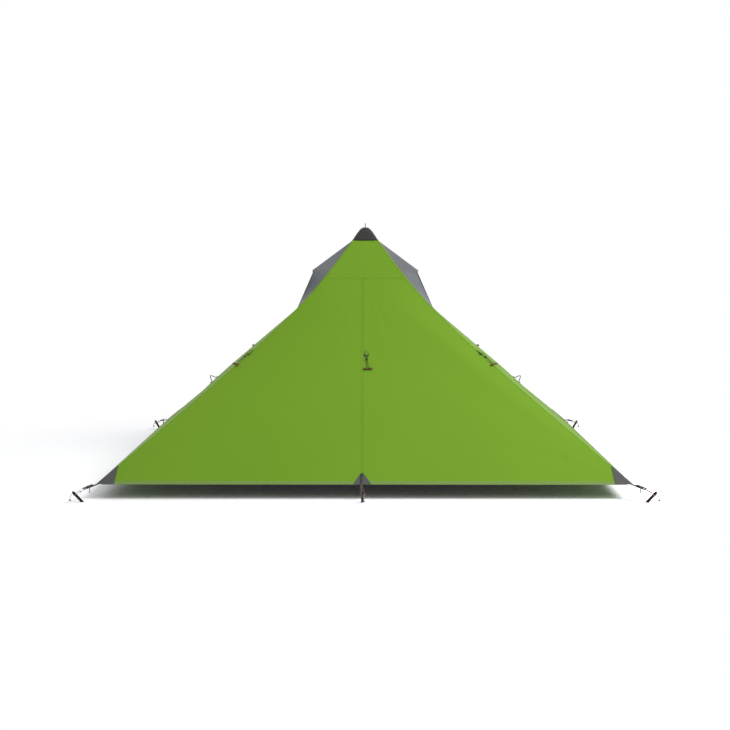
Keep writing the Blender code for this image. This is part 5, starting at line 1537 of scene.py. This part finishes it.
for name, bar_place in toggle_frames().items():
    body, aside = ("door", DOOR_TAB_ASIDE) if name == "front" else ("shelter", 0.0)
    where = bar_place @ Matrix.Translation((aside, 0, 0))
    facing = [way.cross(Vector((-1, 0, 0))) for way in tangents(TAB_LINE)]
    sweep(f"toggle_tab_{name}", TAB_LINE, facing, rounded_strip(0.014, 0.0011), body, green_tape,
          matrix=where)
    cord_curve(f"toggle_buckle_{name}", BUCKLE_LINE, 0.0013, body, black_nylon, cyclic=True,
               matrix=where)
    for i, level in enumerate(BUCKLE_BARS):
        line = eased([(-0.0105, 0.0032, level), (0, 0.0034, level), (0.0105, 0.0032, level)], 8)
        cord_curve(f"toggle_buckle_bar_{name}_{i}", line, 0.0015, body, black_nylon,
                   matrix=where)
    bar_at = Matrix.Translation((0, TOGGLE_RADIUS + 0.0016, -TOGGLE_DROP))
    bar = spin(f"toggle_bar_{name}", BAR_PROFILE, body, toggle_acetal, [f"toggle_{name}"],
               matrix=bar_place @ bar_at @ Matrix.Rotation(math.pi / 2, 4, "Y"), segments=28)
    route = [bar_place @ Vector((x + toggle_aside(aside, z), y, z)) for x, y, z in LOOP_ROUTE]
    route = eased(route, 36)
    loop = cord_curve(f"toggle_cord_{name}", route, 0.0010, body, dark_cord)
    knot_at = Vector(LOOP_KNOT) + Vector((toggle_aside(aside, LOOP_KNOT[2]), 0, 0))
    knot_place = Matrix.Translation(knot_at) @ Matrix.Rotation(math.pi / 2, 4, "X")
    knot = cord_curve(f"toggle_knot_{name}", trefoil((0, 0, 0), LOOP_KNOT_SIZE), 0.0014, body, dark_cord,
                      cyclic=True, matrix=bar_place @ knot_place)
print("toggle loops of", round(row_length(route), 3), "m of cord")

# %% [markdown]
# ## Pull-outs on the side panels
#
# A loop of webbing stands off the middle of each side panel, where a line can draw the cloth outward. It
# is one strip, sewn down at both feet and folded at its outer end.

# %% Side loops
PULLOUT_REACH, PULLOUT_HALF = 0.029, 0.016
PULLOUT_PROFILE = [(PULLOUT_HALF * 1.7, 0.0006), (PULLOUT_HALF, 0.0012),
                   (PULLOUT_HALF * 0.55, PULLOUT_REACH * 0.55), (PULLOUT_HALF * 0.16, PULLOUT_REACH * 0.95)]
PULLOUT_PROFILE += [(0.0, PULLOUT_REACH), *[(-up, out) for up, out in reversed(PULLOUT_PROFILE)]]
for side, sign in SIDES.items():
    spot = side_point(sign, 0, PULLOUT_Z)
    up = (side_point(sign, 0, PULLOUT_Z + 0.01) - side_point(sign, 0, PULLOUT_Z - 0.01)).normalized()
    out = Vector((sign * up.z, 0, -sign * up.x)).normalized()
    line = eased([spot + up * u + out * o for u, o in PULLOUT_PROFILE], 33)
    facing = [way.cross(Vector((0, 1, 0))) for way in tangents(line)]
    sweep(f"pullout_loop_{side}", line, facing, rounded_strip(0.010, 0.0030), "shelter",
                        black_webbing)

# %% [markdown]
# ## Hem-centre patches
#
# The middle of the front and back hem is reinforced too, with a small grey triangle. The front one is cut
# by the zip, so its right half belongs to the door, and a small tab covers the foot of the zip.

# %% Hem triangles
HEM_PATCH_RISE, HEM_PATCH_GAP = 0.046, 0.0034


def hem_patch(name, sign_y, left, right, apex_x, body, lift=0.0008):
    """A triangle of heavier cloth on the hem, from left to right, with its tip over apex_x."""
    rows = []
    for t in spaced(0.04, 1.0, 8):
        z = HEM_Z + HEM_PATCH_RISE * (1 - t)
        row = spaced(lerp(apex_x, left, t), lerp(apex_x, right, t), 8)
        rows.append([front_or_back(sign_y, x, z) + front_out(sign_y) * lift for x in row])
    return cloth(f"hem_patch_{name}", rows, (0, sign_y, 1), body, reinforced_grey,
                 thick=0.0008, proud=True)


left_tip, door_tip = ZIP_X - 0.0060, ZIP_X + HEM_PATCH_GAP
hem_patches = {"front_left": hem_patch("front_left", -1, ZIP_X - 0.044, left_tip, left_tip, "shelter"),
               "door": hem_patch("door", -1, door_tip, ZIP_X + 0.042, door_tip, "door", 0.0019),
               "back": hem_patch("back", 1, -0.046, 0.046, 0.0, "shelter")}
foot_rows = []
for up in (0.034, 0.022, 0.010, -0.001):
    middle = front_point(ZIP_X, HEM_Z) + ZIP_UP * up
    foot_rows.append([middle + ZIP_OUT * (0.0026 - share**2 * 0.0014) + Vector((0.0090 * share, 0, 0))
                      for share in spaced(-1, 1, 8)])
zip_foot_tab = cloth("zip_foot_tab", foot_rows, (0, -1, 1), "shelter", reinforced_grey,
                     thick=0.0008, proud=True)
print("hem patches", len(hem_patches))

# %% [markdown]
# ## The inner tent
#
# Inside hangs a net pyramid with a tub floor. The floor is one sheet whose edges turn up. Its four
# corners are cut out and sewn, and the walls lean in a little. Folding the flat cut up by a formula keeps
# the sheet's true size, which a box shape would lose.

# %% Tub floor
FLOOR_X, FLOOR_Y, TUB_HEIGHT, TUB_LEAN = 1.040, 0.590, 0.110, 0.020
WALL_STEPS = (1.0, 0.5, 0.1)


def tub_point(u, v):
    """The floor's flat cut, folded up: u and v beyond the floor's edge become height."""
    over_u, over_v = max(abs(u) - FLOOR_X, 0.0), max(abs(v) - FLOOR_Y, 0.0)
    height = max(over_u, over_v)
    lean = TUB_LEAN * height / TUB_HEIGHT
    x = math.copysign(FLOOR_X - lean, u) if over_u else u * (FLOOR_X - lean) / FLOOR_X
    y = math.copysign(FLOOR_Y - lean, v) if over_v else v * (FLOOR_Y - lean) / FLOOR_Y
    return Vector((x, y, height + 0.0005))


def tub_steps(half, count):
    walls = [TUB_HEIGHT * t for t in WALL_STEPS]
    return [*[-half - w for w in walls], *spaced(-half, half, count), *[half + w for w in reversed(walls)]]


u_steps, v_steps = tub_steps(FLOOR_X, 20), tub_steps(FLOOR_Y, 12)
tub = cloth("inner_tub_cloth", [[tub_point(u, v) for u in u_steps] for v in v_steps], (0, 0, -1), "shelter",
            floor_silnylon, ["inner_floor"],
            drop=lambda i, j: (i < 3 or i > 14) and (j < 3 or j > 22))
print("floor", 2 * FLOOR_X, "x", 2 * FLOOR_Y, "m")

# %% [markdown]
# Four net walls hang from the pole to the rim of the tub, and sag by 6 mm. The front one covers only the
# left half, because the right half is rolled up. A narrow black tape covers each edge where two walls
# meet.

# %% Net walls
NET_PEAK_Z, NET_PEAK_HALF, NET_SAG = 0.980, 0.020, 0.006
NET_ROWS, NET_COLUMNS = 17, 24


def net_half(z, floor_half):
    return lerp(NET_PEAK_HALF, floor_half - TUB_LEAN, (NET_PEAK_Z - z) / (NET_PEAK_Z - TUB_HEIGHT))


def net_rows(start, end):
    """A net wall between two corners of the tub, each given by its signs."""
    wall = []
    for i, z in enumerate(spaced(NET_PEAK_Z, TUB_HEIGHT + 0.0006, NET_ROWS)):
        hx, hy = net_half(z, FLOOR_X), net_half(z, FLOOR_Y)
        a, b = Vector((start[0] * hx, start[1] * hy, z)), Vector((end[0] * hx, end[1] * hy, z))
        hang = NET_SAG * math.sin(math.pi * i / NET_ROWS)
        inward = Vector((-(a.x + b.x), -(a.y + b.y), 0)).normalized()
        wall.append([a.lerp(b, share) + inward * hang * math.sin(math.pi * share)
                     for share in spaced(0, 1, NET_COLUMNS)])
    return wall


NET_WALLS = {"inner_left_wall": ((-1, -1), (-1, 1), (-1, 0, 1)),
             "inner_right_wall": ((1, -1), (1, 1), (1, 0, 1)),
             "inner_back_wall": ((-1, 1), (1, 1), (0, 1, 1)),
             "inner_front_wall": ((-1, -1), (0, -1), (0, -1, 1))}
for node, (start, end, outward) in NET_WALLS.items():
    cloth(f"{node}_mesh", net_rows(start, end), outward, "shelter", insect_net,
                       [node], thick=NET_THICKNESS)
for name, (sx, sy) in CORNERS.items():
    line = [Vector((sx * net_half(z, FLOOR_X), sy * net_half(z, FLOOR_Y), z))
            for z in spaced(NET_PEAK_Z, TUB_HEIGHT, 20)]
    sweep(f"inner_edge_tape_{name}", line, Vector((sx * 0.6, sy * 0.75, 0.3)),
          flat_section(0.010, 0.0008, 0.0008), "shelter", black_webbing)

# %% [markdown]
# The right half of the net front is rolled up beside the right wall and held by two ties. It is drawn as
# it really lies: every ring along the roll is a spiral of net, pinched in where a tie holds it. A plain
# tube would look solid, and this shows its layers.

# %% The rolled half
ROLL_ROOM, ROLL_STEPS, ROLL_TIES, TIE_RADIUS = 0.022, 24, (5, 19), 0.0200
SPIRAL_STEPS, SPIRAL_TURN, SPIRAL_INNER, SPIRAL_OUTER = 115, 22, 0.0045, 0.0215
fall = Vector((FLOOR_X - TUB_LEAN - NET_PEAK_HALF, 0, -(NET_PEAK_Z - TUB_HEIGHT))).normalized()
inward = Vector((fall.z, 0, -fall.x))
roll_axis = []
for share in spaced(0.10, 0.82, ROLL_STEPS):
    z = lerp(NET_PEAK_Z, TUB_HEIGHT, share)
    near = Vector((net_half(z, FLOOR_X), -net_half(z, FLOOR_Y) + ROLL_ROOM * 1.6, z))
    roll_axis.append(near + inward * (ROLL_ROOM + 0.0012 + TOUCH))


def round_axis(centre, way, angles, radii):
    """Points round a centre, square to the way the axis runs."""
    first = way.cross(Vector((0, 0, 1))).normalized()
    second = way.cross(first)
    return [centre + (first * math.cos(a) + second * math.sin(a)) * r for a, r in zip(angles, radii)]


roll_ways = tangents(roll_axis)
spiral_angles = [2 * math.pi * k / SPIRAL_TURN for k in range(SPIRAL_STEPS + 1)]
spiral_radii = spaced(SPIRAL_INNER, SPIRAL_OUTER, SPIRAL_STEPS)
roll_rows = []
for i, (centre, way) in enumerate(zip(roll_axis, roll_ways)):
    squeeze = 1 - 0.10 * sum(math.exp(-((i - tie) / 1.6) ** 2) for tie in ROLL_TIES)
    roll_rows.append(round_axis(centre, way, spiral_angles, [r * squeeze for r in spiral_radii]))
roll = cloth("inner_door_roll_net", roll_rows, (0, 0, 0), "shelter", insect_net,
             ["inner_door_roll"], thick=0.0002)
for tie in ROLL_TIES:
    ring = round_axis(roll_axis[tie], roll_ways[tie], spaced(0, 2 * math.pi, 24), [TIE_RADIUS] * 25)
    facing = [(p - roll_axis[tie]).normalized() for p in ring]
    sweep(f"inner_roll_tie_{tie}", ring, facing, flat_section(0.012, 0.0010), "shelter",
                           black_webbing)
print("a roll", round(row_length(roll_axis), 2), "m long")

# %% [markdown]
# ## The trekking pole
#
# One pole holds the peak, handle down. Its tubes, clamps, levers and foam grip have the right shape in
# the CAD model already, and so do the eyelet and the props of the vents. They stay, and only get their
# finish.

# %% Finish for the CAD parts that stay
FINISHES = [(pole_aluminium, ["pole_thin_tube", "pole_middle_tube", "pole_grip_tube"]),
            (grip_foam, ["pole_grip"]), (plated_brass, ["peak_eyelet"]),
            (black_nylon, ["pole_upper_clamp", "pole_lower_clamp", "pole_upper_lever", "pole_lower_lever",
                           "vent_prop_left", "vent_prop_right"])]
for finish, nodes in FINISHES:
    for node in nodes:
        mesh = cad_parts[node].data
        mesh.materials.clear()
        mesh.materials.append(finish)
print("finishes", len(FINISHES))

# %% [markdown]
# The tip is made again with a finer profile: a moulded cone whose shoulder bears on the eyelet, and a hard
# needle that goes through it and the cap. Both are turned parts.

# %% Pole tip
EYELET_PLATE, CONE_LENGTH = 0.0010, 0.0456
TIP_SHOULDER_Z = CAP_SEAM_Z + CAP_RISE - CAP_CLOTH - EYELET_PLATE - 2 * TOUCH
THIN_TOP_Z = TIP_SHOULDER_Z - CONE_LENGTH
CONE_TOP = [(0.0, 0.0004), (0.0030, 0.0), (0.0058, 0.0004), (0.0070, 0.0024), (0.0079, 0.0060),
            (0.0080, 0.020), (0.0077, 0.040)]
CONE_FOOT = [(0.0080, 0.006), (0.0080, 0.0190), (0.0076, 0.0200), (0.0064, 0.0200)]
NEEDLE = [(0.0026, -0.001), (0.0026, 0.0224), (0.0024, 0.0246), (0.0018, 0.0272), (0.0014, 0.0284),
          (0.0, 0.0278)]
cone = [(r, TIP_SHOULDER_Z - down) for r, down in CONE_TOP]
cone += [(r, THIN_TOP_Z - down) for r, down in CONE_FOOT]
spin("pole_tip_cone", cone, "pole_top", black_nylon, ["pole_tip"], segments=32)
needle = [(r, TIP_SHOULDER_Z + up) for r, up in NEEDLE]
spin("pole_tip_needle", needle, "pole_top", carbide, segments=20)
print("needle top at", round(max(z for _, z in needle), 4), "m")

# %% [markdown]


# %% [markdown]
# ## Floor and light
#
# The photograph has a white background and a soft shadow close under the tent. The floor is a pale matt
# plane. Where the camera, a mirror or glass looks at it, its light is raised until the lit floor is
# white, so the shadow stays and no lamp has to be brighter. Further out than 1.75 m from the middle it
# fades to plain white. The fly throws a little green light into the shadow. In the photograph the shadow
# is grey, so a very faint violet glow, which only the same rays see, evens it out.

# %% Floor
SEEN_RAYS = ("Is Camera Ray", "Is Glossy Ray", "Is Transmission Ray")
PURE_WHITE, FLOOR_RAISED, EVENED = (1.0, 1.0, 1.0, 1.0), (1.6, 1.6, 1.6, 1.0), (0.017, 0.009, 0.023, 1.0)
FLOOR_HALF, FADE_START, FADE_END = 30.0, 1.75, 2.5


def any_seen(tree):
    """One where a camera, a mirror or glass looks, and nought for light that bounces."""
    rays = add_node(tree, "LightPath")
    seen = rays[SEEN_RAYS[0]]
    for other in SEEN_RAYS[1:]:
        seen = add_node(tree, "Math", {0: seen, 1: rays[other]}, operation="MAXIMUM")[0]
    return seen


corners = [Vector((sx * FLOOR_HALF, sy * FLOOR_HALF, 0)) for sx, sy in ((-1, -1), (1, -1), (1, 1), (-1, 1))]
floor = mesh_object("studio_floor", corners, [(0, 1, 2, 3)])
bpy.context.scene.collection.objects.link(floor)
floor_paint = bpy.data.materials.new("matt_white_studio_floor")
floor_paint.use_nodes = True
tree = floor_paint.node_tree
tree.nodes.clear()
plain = add_node(tree, "BsdfDiffuse", {"Color": linear("#e2e2e2")})["BSDF"]
raised = add_node(tree, "BsdfDiffuse", {"Color": FLOOR_RAISED})["BSDF"]
place_here = add_node(tree, "NewGeometry")["Position"]
away = add_node(tree, "VectorMath", {0: place_here}, operation="LENGTH")["Value"]
away = add_node(tree, "MapRange", {"Value": away, "From Min": FADE_START, "From Max": FADE_END})["Result"]
white = add_node(tree, "Emission", {"Color": PURE_WHITE})["Emission"]
evened = add_node(tree, "Emission", {"Color": EVENED})["Emission"]
raised = add_node(tree, "AddShader", {0: raised, 1: evened})["Shader"]
raised = add_node(tree, "MixShader", {0: away, 1: raised, 2: white})["Shader"]
surface = add_node(tree, "MixShader", {0: any_seen(tree), 1: plain, 2: raised})["Shader"]
add_node(tree, "OutputMaterial", {"Surface": surface})
floor.data.materials.append(floor_paint)
print("floor", 2 * FLOOR_HALF, "m across")

# %% [markdown]
# The world does the same for the backdrop: white to the rays that see it, and a soft pale sky for the
# object, brighter overhead. Two large soft lamps give the shape. The key lamp stands high in front on the
# right, because the right side of the tent is a little lighter, and a weak one fills in from the front.

# %% World and lamps
LAMPS = {"key": ((5.0, -3.7, 5.8), 3.4, 370.0), "front_fill": ((2.0, -7.0, 4.6), 3.5, 36.0)}
LAMP_TARGET = Vector((0, 0, 0.4))

world = bpy.data.worlds.new("white_studio")
world.use_nodes = True
bpy.context.scene.world = world
tree = world.node_tree
tree.nodes.clear()
sky_way = add_node(tree, "SeparateXYZ", {0: add_node(tree, "TexCoord")["Generated"]})["Z"]
overhead = {"Value": sky_way, "From Min": 0.0, "From Max": 0.7, "To Min": 0.10, "To Max": 0.48}
overhead = add_node(tree, "MapRange", overhead)["Result"]
soft = add_node(tree, "Background", {"Color": linear("#f4f6f8"), "Strength": overhead})["Background"]
white = add_node(tree, "Background", {"Color": PURE_WHITE, "Strength": 1.0})["Background"]
sky = add_node(tree, "MixShader", {0: any_seen(tree), 1: soft, 2: white})["Shader"]
add_node(tree, "OutputWorld", {"Surface": sky})

for name, (spot, size, watts) in LAMPS.items():
    lamp_data = bpy.data.lights.new(name, "AREA")
    lamp_data.size, lamp_data.energy = size, watts
    lamp = bpy.data.objects.new(name, lamp_data)
    lamp.location = spot
    lamp.rotation_euler = (LAMP_TARGET - Vector(spot)).to_track_quat("-Z", "Y").to_euler()
    bpy.context.scene.collection.objects.link(lamp)
bpy.context.scene.view_settings.view_transform = "Standard"
print("lamps", len(LAMPS))
